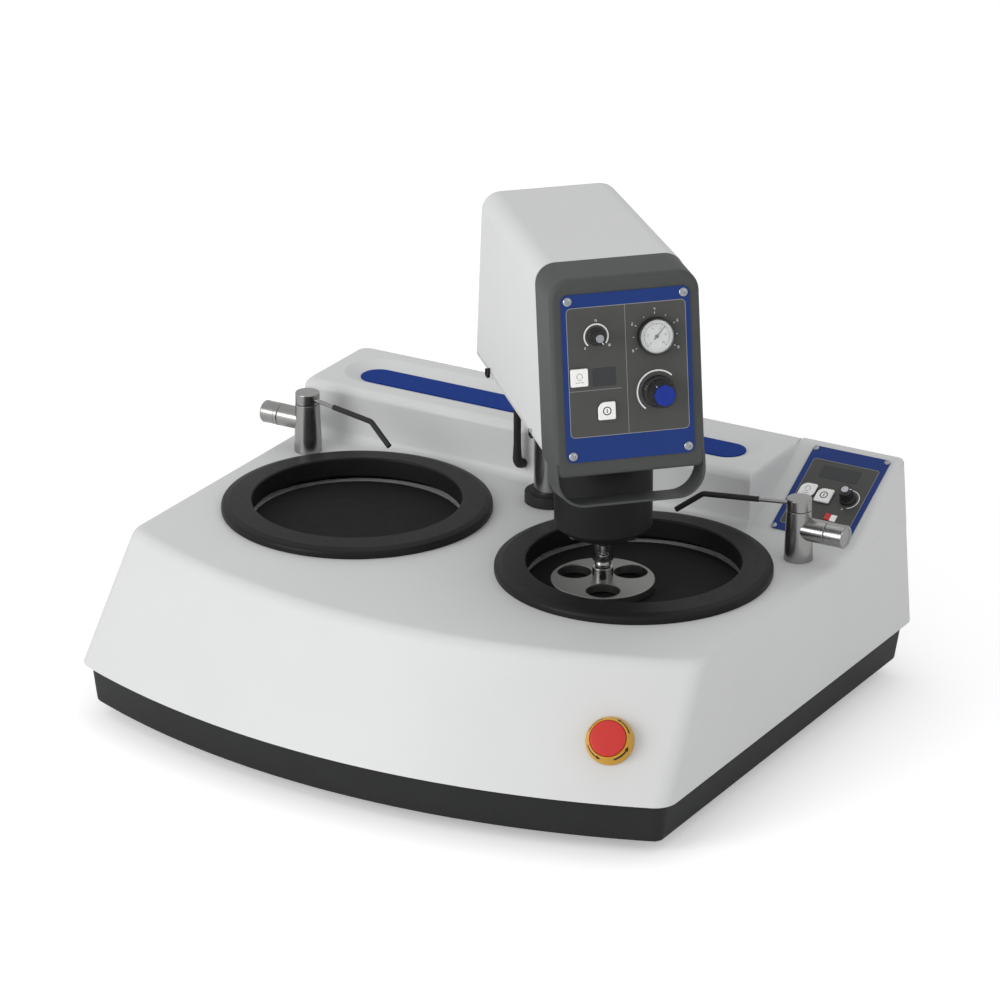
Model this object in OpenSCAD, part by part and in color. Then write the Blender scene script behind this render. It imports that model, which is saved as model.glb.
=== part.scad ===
// Twin-disc metallographic grinder-polisher with a swinging specimen-mover head.
// Millimetres, +Z up, -Y towards the user, origin on the bench under the middle of the footprint.

/* [Housing] */
// Width of the housing along its lower edge
body_w = 780; // [740:5:860]
// Depth of the housing along its lower edge, from the apex of the bow to the back
body_d = 682; // [670:2:740]
// Height of the housing's lower edge above the bench
rim_z = 64; // [58:1:76]
// Height of the work deck above the bench
deck_z = 200; // [192:1:225]
// Width of the housing at deck level
deck_w = 760; // [745:5:775]
// Width of the housing along the top of the upstand
top_w = 750; // [735:5:760]
// How far the front edge of the deck lies behind the lower edge
front_rake = 89; // [60:1:95]
// Radius of the bow of the lower edge
rim_bow_r = 993; // [900:1:1200]
// Radius of the bow of the deck's front edge
deck_bow_r = 850; // [800:1:1100]
// Plan radius of the two front corners
front_corner_r = 28; // [16:1:40]
// Plan radius of the two back corners
back_corner_r = 12; // [6:1:20]
// Rounding of the deck's and the upstand's upper edges
edge_r = 8; // [4:1:10]
// Wall thickness of the housing
shell_t = 4; // [3:0.5:5]
// Width of the inward flange along the lower edge
rim_flange_w = 24; // [22:1:30]

/* [Upstand] */
// Height of the upstand above the deck
upstand_h = 68; // [50:1:80]
// Depth of the upstand, front face to back
upstand_d = 141; // [132:1:150]
// Distance of the console from the middle, to its left side
console_x = 243; // [235:1:250]
// Horizontal run of the sloping console
console_run = 116; // [112:1:122]
// Level strip behind the console
console_back = 16; // [12:1:18]
// Upper radius of the stadium-shaped dish in the upstand
dish_r = 42; // [36:1:46]
// Radius of the dish's level floor
dish_floor_r = 23; // [18:1:28]
// Depth of the dish
dish_depth = 8; // [5:0.5:12]
// Margin between the dish and the ends of the upstand
dish_margin = 26; // [20:1:40]
// Thickness of the liner on the dish's floor
liner_t = 1.5; // [1:0.1:3]

/* [Base tray] */
// Height of a foot
foot_h = 16; // [12:1:20]
// Radius of a foot
foot_r = 19.5; // [15:0.5:24]
// Distance of each foot's middle from the machine's middle plane
foot_x = 310; // [290:5:320]
// Distance of the front feet behind the apex of the housing
front_foot_y = 130; // [125:1:150]
// Distance of the back feet before the back of the housing
back_foot_y = 50; // [46:1:80]
// Inset of the tray's upper edge under the housing's lower edge
tray_top_inset = 10; // [7:0.5:12]
// Inset of the tray's lower edge
tray_foot_inset = 15; // [14:0.5:22]
// Height of the shadow gap between tray and housing
tray_gap = 3; // [2:0.5:5]
// Wall thickness of the tray
tray_t = 4; // [3:0.5:5]

/* [Discs and bowls] */
// Diameter of the abrasive discs
disc_d = 250; // [230:5:260]
// Thickness of an abrasive disc with its magnetic backing
disc_t = 1.8; // [1:0.1:3]
// Distance between the two disc centres
disc_pitch = 372; // [365:1:380]
// Distance of the disc centres behind the apex of the housing
disc_from_front = 366; // [360:1:372]
// Depth of the discs' working faces below the deck
disc_drop = 17.5; // [16:0.5:22]
// Rim of the platen beyond the disc
platen_margin = 15; // [10:1:17]
// Thickness of a platen
platen_t = 16; // [12:1:20]
// Gap between platen and bowl
platen_gap = 7; // [5:1:9]
// Wall thickness of a bowl
bowl_t = 3; // [2:0.5:4]
// Depth of a bowl below the deck
bowl_depth = 80; // [76:1:84]
// Width of the bowl's flange on the deck
bowl_flange_w = 6; // [5:0.5:7]
// Wall thickness of the splash rings
ring_t = 2.7; // [2:0.1:3]
// Height of the splash rings' inner lip above the deck
ring_lip_h = 13; // [11:0.5:18]
// Height of the splash rings' outer shoulder above the deck
ring_shoulder_h = 10.5; // [8:0.5:11]
// How far the lip reaches in over the edge of the disc
lip_overhang = 1.5; // [0:0.5:4]
// Depth of the splash ring's skirt below the deck
skirt_depth = 10; // [6:0.5:12]

/* [Disc drive] */
// Height of the underside of the chassis plate above the bench
chassis_z = 96; // [94:1:98]
// Thickness of the chassis plate
chassis_t = 8; // [6:1:9]
// Radius of the platen spindles
spindle_r = 12; // [10:0.5:14]
// Radius of the platen spindles' pulleys
pulley_r = 55; // [45:1:60]
// Radius of the motor pulley
motor_pulley_r = 22; // [18:1:26]
// Height of a belt
belt_h = 6; // [5:0.5:7]
// Radial thickness of a belt
belt_t = 5; // [4:0.5:6]
// Radius of the drive motor
motor_r = 60; // [50:1:66]
// Height of the drive motor
motor_h = 80; // [70:1:84]
// Distance of the drive motor in front of the discs' centre line
motor_front = 155; // [150:1:165]

/* [Column] */
// Distance of the column behind the discs' centre line
column_back = 133; // [128:1:136]
// Diameter of the column
column_d = 40; // [36:1:44]
// Wall thickness of the column
column_t = 4; // [3:0.5:6]
// Radius of the flange at the foot of the column
flange_r = 31; // [28:1:34]
// Height of the flange at the foot of the column
flange_h = 13; // [10:1:16]
// Radius of the cable conduit beside the column
conduit_r = 4.5; // [4:0.25:5]

/* [Head] */
// Angle of the head at rest from straight forward
head_angle = 45; // [40:0.5:50]
// Width of the head
head_w = 172; // [170:1:180]
// Height of the head's lower edge above the deck
head_lift = 180; // [176:1:200]
// Height of the head's casing
head_h = 207; // [204:1:225]
// Rounding of the casing's upper edges
head_round = 22; // [14:1:28]
// Reach of the head behind the column at its lower edge
head_tail = 54; // [50:1:60]
// How far the tail has come forward at the top of the casing
tail_lean = 28; // [20:1:40]
// How much the casing has narrowed at the tail, on each side
tail_taper = 5; // [3:0.5:8]
// Wall thickness of the head's covers
head_t = 3; // [2.5:0.5:3.5]
// Distance of the middle of the front face before the column
face_reach = 324; // [318:1:335]
// Height of the middle of the front face above the head's lower edge
face_rise = 98; // [95:1:102]
// Backward tilt of the front face in degrees
face_tilt = 9.8; // [8:0.1:11]
// Depth of the dark front casing
fascia_depth = 60; // [54:1:64]
// Lower edge of the front face below its middle
face_low = 112; // [108:1:116]
// Lower edge of the grip loop below the face's middle
grip_low = 146; // [140:1:150]
// Depth of the grip loop
grip_depth = 38; // [30:1:44]
// Radius of the spindle housing
housing_r = 56; // [52:1:57]
// Height of the spindle housing's lower edge above the deck
housing_z = 62; // [60:1:66]

/* [Control panels] */
// Width of the panel on the head
head_panel_w = 147; // [144:1:152]
// Height of the panel on the head
head_panel_h = 188; // [186:1:194]
// Width of the panel on the console
console_panel_w = 100; // [98:1:106]
// Length of the panel on the console
console_panel_h = 128; // [124:1:129]
// Thickness of the panels
panel_t = 1.5; // [1:0.1:2]
// Side of the square push buttons
button_w = 20; // [16:1:22]
// Travel of the push buttons
button_travel = 1.2; // [0.8:0.1:1.6]
// Radius of the pressure gauge
gauge_r = 21; // [18:0.5:23]
// Radius of the pressure knob
pressure_knob_r = 18; // [15:0.5:20]
// Radius of the small knobs
small_knob_r = 10; // [8:0.5:11]
// Radius of the round-headed panel screws
screw_head_r = 5; // [3:0.1:5.2]

/* [Specimen mover] */
// Diameter of the sample holder
holder_d = 120; // [110:1:122]
// Thickness of the sample holder
holder_t = 10; // [8:0.5:11]
// Diameter of the holes for specimen mounts
sample_d = 39; // [30:0.5:40]
// Radius of the circle on which the holes lie
sample_circle_r = 37; // [35.5:0.5:38]
// Gap between the sample holder and the disc
holder_gap = 2.5; // [2:0.25:4]
// Radius of the drive shaft
drive_r = 12; // [10:0.5:12.5]
// Radius of the pressure fingers
finger_r = 4; // [3:0.25:5]
// Height of the fingers' tips above the holder
finger_clear = 40; // [38:1:42]
// Travel of the pressure fingers
finger_travel = 16; // [10:1:16]
// Lift of the drive shaft
shaft_lift = 20; // [12:1:20]

/* [Water taps] */
// Distance of each tap from the middle plane
tap_x = 333; // [328:1:338]
// Distance of the taps behind the discs' centre line
tap_back = 124; // [120:1:127]
// Radius of a tap's pillar at its foot
tap_r = 17; // [15:0.5:19]
// Radius of a tap's swivel cap
cap_r = 14.7; // [13:0.1:15]
// Height of a tap with its cap
tap_h = 75.5; // [72:0.5:80]
// Height of the swivel cap
cap_h = 14; // [13:0.5:18]
// Height of the valve above the deck
valve_h = 39; // [32:0.5:42]
// Radius of the valve body and its knob
valve_r = 13.7; // [12:0.1:14]
// Length of the valve body from the tap's axis
valve_l = 37; // [30:1:40]
// Length of the tap knob
tap_knob_l = 24; // [18:1:26]
// Distance from the tap's axis to the bend of the spout
spout_l = 113; // [100:1:120]
// Length of the spout's end beyond the bend
spout_end = 39; // [30:1:44]
// Angle of the spout's end below level
spout_drop = 36; // [20:1:50]
// Angle of the spout at rest, forward of the line between the taps
spout_angle = 15.5; // [10:0.5:25]
// Length of bare steel tube, from the tap's axis
bare_l = 47; // [40:1:60]
// Outer radius of the spout's rubber sleeve
sleeve_r = 3.3; // [3.1:0.1:3.8]
// Radius of the spout's steel tube
tube_r = 2.6; // [2.3:0.1:2.7]

/* [Stop button and connections] */
// Distance of the stop button from the middle plane
stop_x = 310; // [295:1:315]
// Height of the stop button above the bench
stop_z = 123; // [116:1:130]
// Radius of the stop button's red head
stop_r = 20.2; // [18:0.1:21]
// Radius of the stop button's yellow collar
stop_collar_r = 27; // [25:0.5:30]
// Height of the stop button's collar
stop_collar_h = 16.5; // [15:0.5:20]
// Travel of the stop button
stop_travel = 5; // [3:0.5:5]
// Length of the hose connections behind the housing
fitting_out = 22; // [15:1:30]
// Radius of the hose connections
fitting_r = 7; // [5:0.5:9]
// Width of the mains inlet
inlet_w = 60; // [50:1:70]
// Height of the mains inlet
inlet_h = 32; // [28:1:40]

/* [Hidden] */
$fn = 72;

// Overrun of every cut beyond the face that it opens
cut = 1;
// Step between the upstand, the console and the walls below them
seam = 0.5;
// Radial clearance of running fits
run_gap = 0.05;
// Clearance of seats and of pieces that pass each other
seat_gap = 0.3;

// Places along Y that follow the housing and its rear connections
front_y = -(body_d + fitting_out) / 2;
back_y = front_y + body_d;
disc_x = disc_pitch / 2;
disc_y = front_y + disc_from_front;
column_y = disc_y + column_back;
tap_y = disc_y + tap_back;
motor_y = disc_y - motor_front;
upstand_y = back_y - upstand_d;
top_z = deck_z + upstand_h;
tray_top = rim_z - tray_gap;
floor_t = 4;
socket_wall = 14;
belt_from_floor = 32;
belt_spare = 2;
groove_spare = 1;
boss_wall = 18;
chimney_gap = 6;
chassis_side = 100;
chassis_margin = 6;
tray_floor = foot_h + floor_t;
gasket_inset = 3;
socket_r = column_d / 2 + socket_wall;
head_z = deck_z + head_lift;

// Radii and heights of a disc station, from the disc outwards and downwards
disc_r = disc_d / 2;
platen_r = disc_r + platen_margin;
bowl_in_r = platen_r + platen_gap;
bowl_r = bowl_in_r + bowl_t;
bowl_gap = 1;
deck_hole_r = bowl_r + 2 * bowl_gap;
bowl_flange_t = 2;
bowl_flange_r = bowl_r + bowl_flange_w;
ring_r = bowl_flange_r + bowl_gap + ring_t;
lip_r = disc_r - lip_overhang;
disc_top = deck_z - disc_drop;
platen_top = disc_top - disc_t;
platen_low = platen_top - platen_t;
bowl_low = deck_z - bowl_depth;
spindle_flange_r = 45;
spindle_flange_t = 5;
pilot_r = 10;
pilot_h = 11;
chimney_r = spindle_r + chimney_gap;
chimney_top = platen_low - 2 * spindle_flange_t;
drain_r = 8;
drain_l = 10;
drain_back = bowl_in_r - 3 * drain_r;

// Belt planes, one above the other
pulley_lip = 3;
pulley_h = belt_h + 2 * pulley_lip;
belt_pitch = pulley_h + belt_spare;
right_belt_z = tray_floor + belt_from_floor;
left_belt_z = right_belt_z + belt_pitch;
groove_d = belt_t + groove_spare;
chassis_top = chassis_z + chassis_t;
boss_r = spindle_r + boss_wall;
boss_low = left_belt_z + pulley_h / 2 + pulley_lip;
boss_top = bowl_low - belt_spare;
motor_shaft_r = 9;
chassis_x = disc_x + chassis_side;
chassis_front = motor_y - motor_r - chassis_margin;
chassis_back = column_y + socket_r + socket_wall;
leg_r = 12;
socket_h = 46;

// Column and conduit
column_r = column_d / 2;
column_in_head = 85;
column_top = head_z + column_in_head;
column_hole_gap = 4;
flange_bevel = 1;
flange_step = [4, 3];
conduit_bend_r = 12;
conduit_x = -62;
conduit_stand = 2;
conduit_y = upstand_y - conduit_bend_r - conduit_stand;
conduit_rise = 21;
conduit_low = deck_z + conduit_rise;
port_drop = 35;
port_z = head_z - port_drop;
port_wall = 3;
port_r = conduit_r + port_wall;
port_out = 14;
port_bore_r = 3.5;
ferrule_wall = 1;
ferrule_r = conduit_r + ferrule_wall;
ferrule_h = 16;
ferrule_top = conduit_low + conduit_bend_r + ferrule_h;
conduit_reach = norm([conduit_x, conduit_y - column_y]);
conduit_turn = atan2(conduit_y - column_y, conduit_x);

// Head, in a frame with its origin on the column and -Y forward
head_top = head_z + head_h;
face_z = head_z + face_rise;
seam_back = fascia_depth / cos(face_tilt);
spindle_reach = norm([disc_x, column_back]);
frame_up = 4;
frame_z = head_z + frame_up;
frame_t = 6;
frame_front_gap = 12;
frame_back_gap = 8;
frame_rib = [8, 40];
hub_wall = 16;
hub_r = column_r + hub_wall;
hub_lid = 5;
hub_top = column_top + hub_lid;
shaft_rise = 40;
shaft_top_z = frame_z + frame_t + shaft_rise;
lens_t = 0.8;
fascia_round = 24;
grip_round = 32;
housing_low = deck_z + housing_z;
screw_in = 7.3;
button_h = 2;
button_stem_r = 3;
stem_in = 9;
cap_low = panel_t + button_travel + seat_gap;

// Controls on the head's panel, measured from its middle
timer_at = [-35, 46];
square_at = [-56.5, 1.5];
start_at = [-26.5, -38];
gauge_at = [32.5, 41];
pressure_at = [33, -21.5];
gauge_h = 9;
gauge_rim = 2;
dial_in = 3;
needle_a = 138;
needle_gap = 4;
needle_w = 0.9;
needle_pin_r = 1;
needle_hub_r = 2;
head_panel_round = 8;
console_panel_round = 3;

// Controls on the console's panel, measured from its middle
leaf_at = [-28.5, -3];
cut_at = [-5.5, -6];
speed_at = [24, -3];
rocker_at = [15, -34];
rocker_w = 15;
rocker_d = 9;
rocker_h = 7;
rocker_tilt = 16;
console_slope = atan2(upstand_h, console_run);
console_shift = 5;
console_mid = [
    (console_x + top_w / 2) / 2 + console_shift,
    back_y - console_back - console_run / 2,
    deck_z + upstand_h / 2];

// Specimen mover
holder_low = disc_top + holder_gap;
holder_top = holder_low + holder_t;
boss_h = 15;
boss_bore_r = 7;
finger_tip = holder_top + finger_clear;
finger_angles = [-60, 60, 180];
housing_t = 4;
housing_lid = 6;
housing_bevel = 3;
plate_up = 0.5;
plate_low = housing_low + plate_up;
plate_cone = [9.5, 9];
plate_h = 26;
finger_spare = 12;
finger_top = plate_low + plate_h + finger_travel + finger_spare;
housing_in_r = housing_r - housing_t;
neck_wall = 8;
shaft_step = 4;
shaft_play = 2;
chuck_h = 8;
chuck_taper = 2;
pad_out = 2.5;
pad_h = 6;
pad_bevel = 1.5;
keyhole_r = 4;
clamp_r = 1.6;
clamp_l = 3;
clamp_in = 2;
motor_flange = [6, 10];
motor_room = 30;

// Taps
cap_low_z = deck_z + tap_h - cap_h;
pin_r = 6;
pin_h = 10;
shank_r = 8;
nut_r = 14;
nut_h = 7;
tube_z = cap_low_z + cap_h / 2;
spout_bend_r = 10;
sleeve_bore_r = 2.1;
sleeve_lap = 14;
knob_pin_r = 4;
knob_pin_l = 12;
knob_bevel = [2, 1.5];
tube_wall = 0.8;

// Stop button
stop_barrel_r = 11;
stop_stem_r = 8;
stop_nut_r = 17;
stop_off = 0.3;
stop_floor = 6;
stop_head_h = 8.2;
stop_block_w = 32;
stop_block_low = 44;
stop_block_floor = 3;
stop_play = 1;
stop_lap = 4;
stop_nut_h = 6;
stop_rim = 1.3;
stop_bevel = 1.2;

// Motor and rear connections
motor_fin = 5;
rear_up = 10;
inlet_plate = 3;
inlet_body = [25, 15];
fitting_wall = 2;
fitting_flange = 3;
fitting_barb = 1;

function lerp(a, b, u) = a + (b - a) * u;
function wall_u(z) = (z - rim_z) / (deck_z - rim_z);
function half_w(z) = z <= deck_z ? lerp(body_w, deck_w, wall_u(z)) / 2
    : lerp(deck_w, top_w, (z - deck_z) / upstand_h) / 2;
function bow(z) = lerp(rim_bow_r, deck_bow_r, wall_u(z));
function apex_y(z) = lerp(front_y, front_y + front_rake, wall_u(z));
function face_y(x, z) = apex_y(z) + bow(z) - sqrt(bow(z) * bow(z) - x * x);
rake = atan2(front_rake, deck_z - rim_z);

// Points of an arc about a centre in plan
function arc(c, r, a0, a1, n, skip = 0) =
    [for (i = [skip:n]) c + r * [cos(lerp(a0, a1, i / n)), sin(lerp(a0, a1, i / n))]];

// Plan outline of the housing at a height, moved in by an inset
function plan(z, inset = 0, steps = 5) =
    let(hw = half_w(z) - inset,
        r = bow(z) - inset,
        y0 = apex_y(z) + inset,
        yb = back_y - inset,
        rc = max(front_corner_r - inset, front_corner_r / 4),
        rb = max(back_corner_r - inset, back_corner_r / 4),
        yc = y0 + r - sqrt(pow(r - rc, 2) - pow(hw - rc, 2)),
        turn = asin((hw - rc) / (r - rc)))
    concat(
        arc([0, y0 + r], r, -90 - turn, -90 + turn, 6 * steps),
        arc([hw - rc, yc], rc, -90 + turn, 0, steps, 1),
        arc([hw - rb, yb - rb], rb, 0, 90, steps),
        arc([-hw + rb, yb - rb], rb, 90, 180, steps),
        [for (p = arc([-hw + rc, yc], rc, 180, 270 - turn, steps)) if (p[1] > yc - rc) p]);
function drop_last(v) = [for (i = [0:len(v) - 2]) v[i]];
function ring_at(z, inset = 0) = [for (p = drop_last(plan(z, inset))) [p[0], p[1], z]];
function at_z(pts, z) = [for (p = pts) [p[0], p[1], z]];

// Stadium outline between two end centres
function stadium(x0, x1, y, r, n = 16) =
    concat(arc([x1, y], r, -90, 90, n), arc([x0, y], r, 90, 270, n));

// Solid through a stack of rings that each turn anticlockwise seen from the last one
module skin(rings) {
    n = len(rings[0]);
    m = len(rings);
    polyhedron(
        points = [for (r = rings) each r],
        faces = concat(
            [[for (i = [0:n - 1]) i]],
            [[for (i = [n - 1:-1:0]) (m - 1) * n + i]],
            [for (k = [0:m - 2], i = [0:n - 1]) [k * n + i, (k + 1) * n + i, (k + 1) * n + (i + 1) % n]],
            [for (k = [0:m - 2], i = [0:n - 1]) [k * n + i, (k + 1) * n + (i + 1) % n, k * n + (i + 1) % n]]),
        convexity = 6);
}

module tube(r_out, r_in, h) {
    difference() {
        cylinder(r = r_out, h = h);
        translate([0, 0, -cut]) cylinder(r = r_in, h = h + 2 * cut);
    }
}

module at_disc(side) {
    translate([side * disc_x, disc_y, 0]) children();
}

module head_place() {
    translate([0, column_y, 0]) rotate([0, 0, head_angle]) children();
}

module face_place() {
    head_place() translate([0, -face_reach, face_z]) rotate([90 - face_tilt, 0, 0]) children();
}

module console_place() {
    translate(console_mid) rotate([console_slope, 0, 0]) children();
}

module mover_place() {
    head_place() translate([0, -spindle_reach, 0]) children();
}

module tap_place(side) {
    translate([side * tap_x, tap_y, deck_z]) rotate([0, 0, side < 0 ? 180 : 0]) children();
}

// Normal of the raked front wall at the stop button
stop_dx = (face_y(stop_x + cut, stop_z) - face_y(stop_x - cut, stop_z)) / (2 * cut);
stop_dz = (face_y(stop_x, stop_z + cut) - face_y(stop_x, stop_z - cut)) / (2 * cut);
stop_lean = acos(stop_dz / norm([stop_dx, 1, stop_dz]));
stop_yaw = atan2(-1, stop_dx);

module stop_place() {
    translate([stop_x, face_y(stop_x, stop_z), stop_z])
        rotate([0, stop_lean, stop_yaw]) children();
}

// Base

module base_tray() {
    color([0.2, 0.2, 0.21]) difference() {
        union() {
            skin([at_z(ring_at(rim_z, tray_foot_inset), foot_h), at_z(ring_at(rim_z, tray_top_inset), tray_top)]);
            skin([
                at_z(ring_at(rim_z, tray_top_inset + gasket_inset), tray_top - cut),
                at_z(ring_at(rim_z, tray_top_inset + gasket_inset), rim_z)]);
        }
        skin([
            at_z(ring_at(rim_z, tray_foot_inset + tray_t), tray_floor),
            at_z(ring_at(rim_z, tray_top_inset + tray_t), tray_top - tray_t)]);
        skin([
            at_z(ring_at(rim_z, rim_flange_w - tray_gap), tray_top - 2 * tray_t),
            at_z(ring_at(rim_z, rim_flange_w - tray_gap), rim_z + cut)]);
    }
}

module feet() {
    bevel = foot_h / 8;
    for (x = [-foot_x, foot_x], y = [front_y + front_foot_y, back_y - back_foot_y])
        color([0.12, 0.12, 0.12]) translate([x, y, 0]) rotate_extrude() polygon([
            [0, 0], [foot_r - bevel, 0], [foot_r, bevel], [foot_r, foot_h - bevel],
            [foot_r - bevel, foot_h], [0, foot_h]]);
}

module chassis() {
    color([0.55, 0.57, 0.6]) difference() {
        union() {
            translate([-chassis_x, chassis_front, chassis_z])
                cube([2 * chassis_x, chassis_back - chassis_front, chassis_t]);
            for (side = [-1, 1]) at_disc(side)
                translate([0, 0, boss_low]) cylinder(r = boss_r, h = boss_top - boss_low);
            for (x = [-1, 1], y = [chassis_front + leg_r, chassis_back - leg_r])
                translate([x * (chassis_x - leg_r), y, tray_floor])
                    cylinder(r = leg_r, h = chassis_z - tray_floor + chassis_t / 2);
            translate([0, column_y, chassis_z]) cylinder(r = socket_r, h = chassis_t + socket_h);
        }
        for (side = [-1, 1]) at_disc(side)
            translate([0, 0, boss_low - cut])
                cylinder(r = spindle_r + run_gap, h = boss_top - boss_low + 2 * cut);
        translate([0, column_y, chassis_top]) cylinder(r = column_r, h = socket_h + cut);
        translate([0, motor_y, chassis_z - cut])
            cylinder(r = motor_shaft_r + shell_t, h = chassis_t + 2 * cut);
    }
}

// Housing

module upstand_block(inset, low, high, right, rounds) {
    steps = 3;
    function block_ring(z, in) =
        let(xl = -half_w(z) + inset + in, y0 = upstand_y + inset + in, yb = back_y - inset - in)
        at_z(concat(
            [[right, y0], [right, yb]],
            arc([xl + back_corner_r, yb - back_corner_r], back_corner_r, 90, 180, steps),
            arc([xl + edge_r, y0 + edge_r], edge_r, 180, 270, steps)), z);
    skin(concat(
        [block_ring(low, 0)],
        rounds > 0
            ? [for (i = [0:steps]) block_ring(
                high - rounds + rounds * sin(90 * i / steps), rounds * (1 - cos(90 * i / steps)))]
            : [block_ring(high, 0)]));
}

module console_block(inset, low, left) {
    drop = inset / cos(console_slope);
    run = console_run / upstand_h;
    toe = back_y - console_back - console_run;
    toe_z = deck_z - inset;
    high = top_z - inset;
    y0 = toe + (drop - inset) * run;
    y1 = toe + (upstand_h + drop - inset) * run;
    profile = [[y0, low], [back_y - inset, low], [back_y - inset, high], [y1, high], [y0, toe_z]];
    skin([
        [for (p = profile) [left, p[0], p[1]]],
        [for (p = profile) [half_w(p[1]) - inset, p[0], p[1]]]]);
}

// The dish's sloping sides between its floor and the upstand's top, moved out and ended at a height
module dish(grow, over) {
    x0 = -top_w / 2 + dish_margin + dish_r;
    x1 = console_x - dish_margin - dish_r;
    y = back_y - upstand_d / 2;
    flare = (dish_r - dish_floor_r) / dish_depth;
    skin([
        at_z(stadium(x0, x1, y, dish_floor_r + grow), top_z - dish_depth - grow),
        at_z(stadium(x0, x1, y, dish_r + grow + flare * over), top_z - grow + over)]);
}

module body_outer() {
    steps = 3;
    skin(concat(
        [ring_at(rim_z)],
        [for (i = [0:steps])
            let(z = deck_z - edge_r + edge_r * sin(90 * i / steps), in = edge_r * (1 - cos(90 * i / steps)))
            at_z(ring_at(deck_z - edge_r, in), z)]));
}

module body_shell() {
    front_t = shell_t / cos(rake);
    block_low = deck_z - edge_r - shell_t;
    color([0.86, 0.87, 0.86]) difference() {
        union() {
            difference() {
                union() {
                    body_outer();
                    upstand_block(seam, block_low, top_z, console_x, edge_r);
                    console_block(2 * seam, block_low, console_x - shell_t);
                }
                skin([
                    at_z(ring_at(rim_z, front_t), rim_z + shell_t),
                    at_z(ring_at(deck_z - shell_t, front_t), deck_z - shell_t)]);
                upstand_block(shell_t + 2 * seam, deck_z - shell_t - cut, top_z - shell_t, console_x - shell_t, 0);
                console_block(shell_t + 2 * seam, deck_z - shell_t - cut, console_x + shell_t);
                skin([
                    at_z(ring_at(rim_z, rim_flange_w), rim_z - cut),
                    at_z(ring_at(rim_z, rim_flange_w), rim_z + shell_t + cut)]);
            }
            dish(shell_t, shell_t / 2);
        }
        dish(0, cut);
        for (side = [-1, 1]) {
            at_disc(side) translate([0, 0, deck_z - 2 * shell_t]) cylinder(r = deck_hole_r, h = 3 * shell_t);
            tap_place(side) translate([0, 0, -2 * shell_t]) cylinder(r = shank_r, h = 3 * shell_t);
        }
        translate([0, column_y, deck_z - 2 * shell_t]) cylinder(r = column_r + column_hole_gap, h = 3 * shell_t);
        stop_place() translate([0, 0, -3 * shell_t]) cylinder(r = stop_barrel_r, h = 4 * shell_t);
        translate([conduit_x, upstand_y - shell_t, conduit_low]) rotate([-90, 0, 0])
            cylinder(r = ferrule_r + run_gap, h = 3 * shell_t);
        console_place() translate([0, 0, -shell_t])
            cube([console_panel_w - 3 * screw_in, console_panel_h - 4 * screw_in, 4 * shell_t], center = true);
        inlet_place() translate([-inlet_w / 2 + shell_t, -inlet_h / 2 + shell_t, -2 * shell_t])
            cube([inlet_w - 2 * shell_t, inlet_h - 2 * shell_t, 3 * shell_t]);
        fitting_place() translate([0, 0, -2 * shell_t]) cylinder(r = fitting_r, h = 3 * shell_t);
    }
}

module tray_liner() {
    r = dish_floor_r - 2 * seat_gap;
    x0 = -top_w / 2 + dish_margin + dish_r;
    x1 = console_x - dish_margin - dish_r;
    color([0.05, 0.16, 0.55]) translate([0, back_y - upstand_d / 2, top_z - dish_depth]) {
        skin([at_z(stadium(x0, x1, 0, r), 0), at_z(stadium(x0, x1, 0, r), liner_t)]);
    }
}

// Disc stations

module bowl(side) {
    color([0.13, 0.13, 0.14]) at_disc(side) difference() {
        union() {
            rotate_extrude() polygon([
                [chimney_r, bowl_low], [bowl_r, bowl_low], [bowl_r, deck_z], [bowl_flange_r, deck_z],
                [bowl_flange_r, deck_z + bowl_flange_t], [bowl_in_r, deck_z + bowl_flange_t],
                [bowl_in_r, bowl_low + bowl_t], [chimney_r + bowl_t, bowl_low + bowl_t],
                [chimney_r + bowl_t, chimney_top], [chimney_r, chimney_top]]);
            translate([0, drain_back, bowl_low - drain_l]) cylinder(r = drain_r, h = drain_l + bowl_t / 2);
        }
        translate([0, drain_back, bowl_low - drain_l - cut])
            cylinder(r = drain_r - bowl_t / 2, h = drain_l + bowl_t + 2 * cut);
    }
}

module splash_ring(side) {
    lip_z = deck_z + ring_lip_h;
    shoulder_z = deck_z + ring_shoulder_h;
    round_r = ring_shoulder_h / 2;
    in_r = ring_r - ring_t;
    fall = (ring_lip_h - ring_shoulder_h) / (ring_r - round_r - lip_r);
    roof = ring_t / 1.2;
    color([0.17, 0.17, 0.18]) at_disc(side) rotate_extrude() polygon(concat(
        [[in_r, deck_z], [ring_r, deck_z]],
        arc([ring_r - round_r, shoulder_z - round_r], round_r, 0, 90, 6),
        [[lip_r + ring_t / 2, lip_z], [lip_r, lip_z - ring_t / 2], [lip_r, deck_z - skirt_depth],
            [lip_r + roof, deck_z - skirt_depth],
            [lip_r + roof, lip_z - roof - ring_t * fall],
            [ring_r - round_r, shoulder_z - roof],
            [in_r, shoulder_z - round_r]]));
}

module platen(side) {
    color([0.72, 0.73, 0.75]) at_disc(side) difference() {
        translate([0, 0, platen_low]) cylinder(r = platen_r, h = platen_t);
        translate([0, 0, platen_low - cut]) cylinder(r = pilot_r + run_gap, h = pilot_h + seat_gap + cut);
    }
}

module disc(side) {
    color([0.1, 0.1, 0.1]) at_disc(side) translate([0, 0, platen_top]) cylinder(r = disc_r, h = disc_t);
}

module pulley(r, z) {
    translate([0, 0, z - pulley_h / 2]) difference() {
        cylinder(r = r, h = pulley_h);
        translate([0, 0, pulley_lip - seat_gap]) tube(r + cut, r - groove_d, belt_h + 2 * seat_gap);
    }
}

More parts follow.
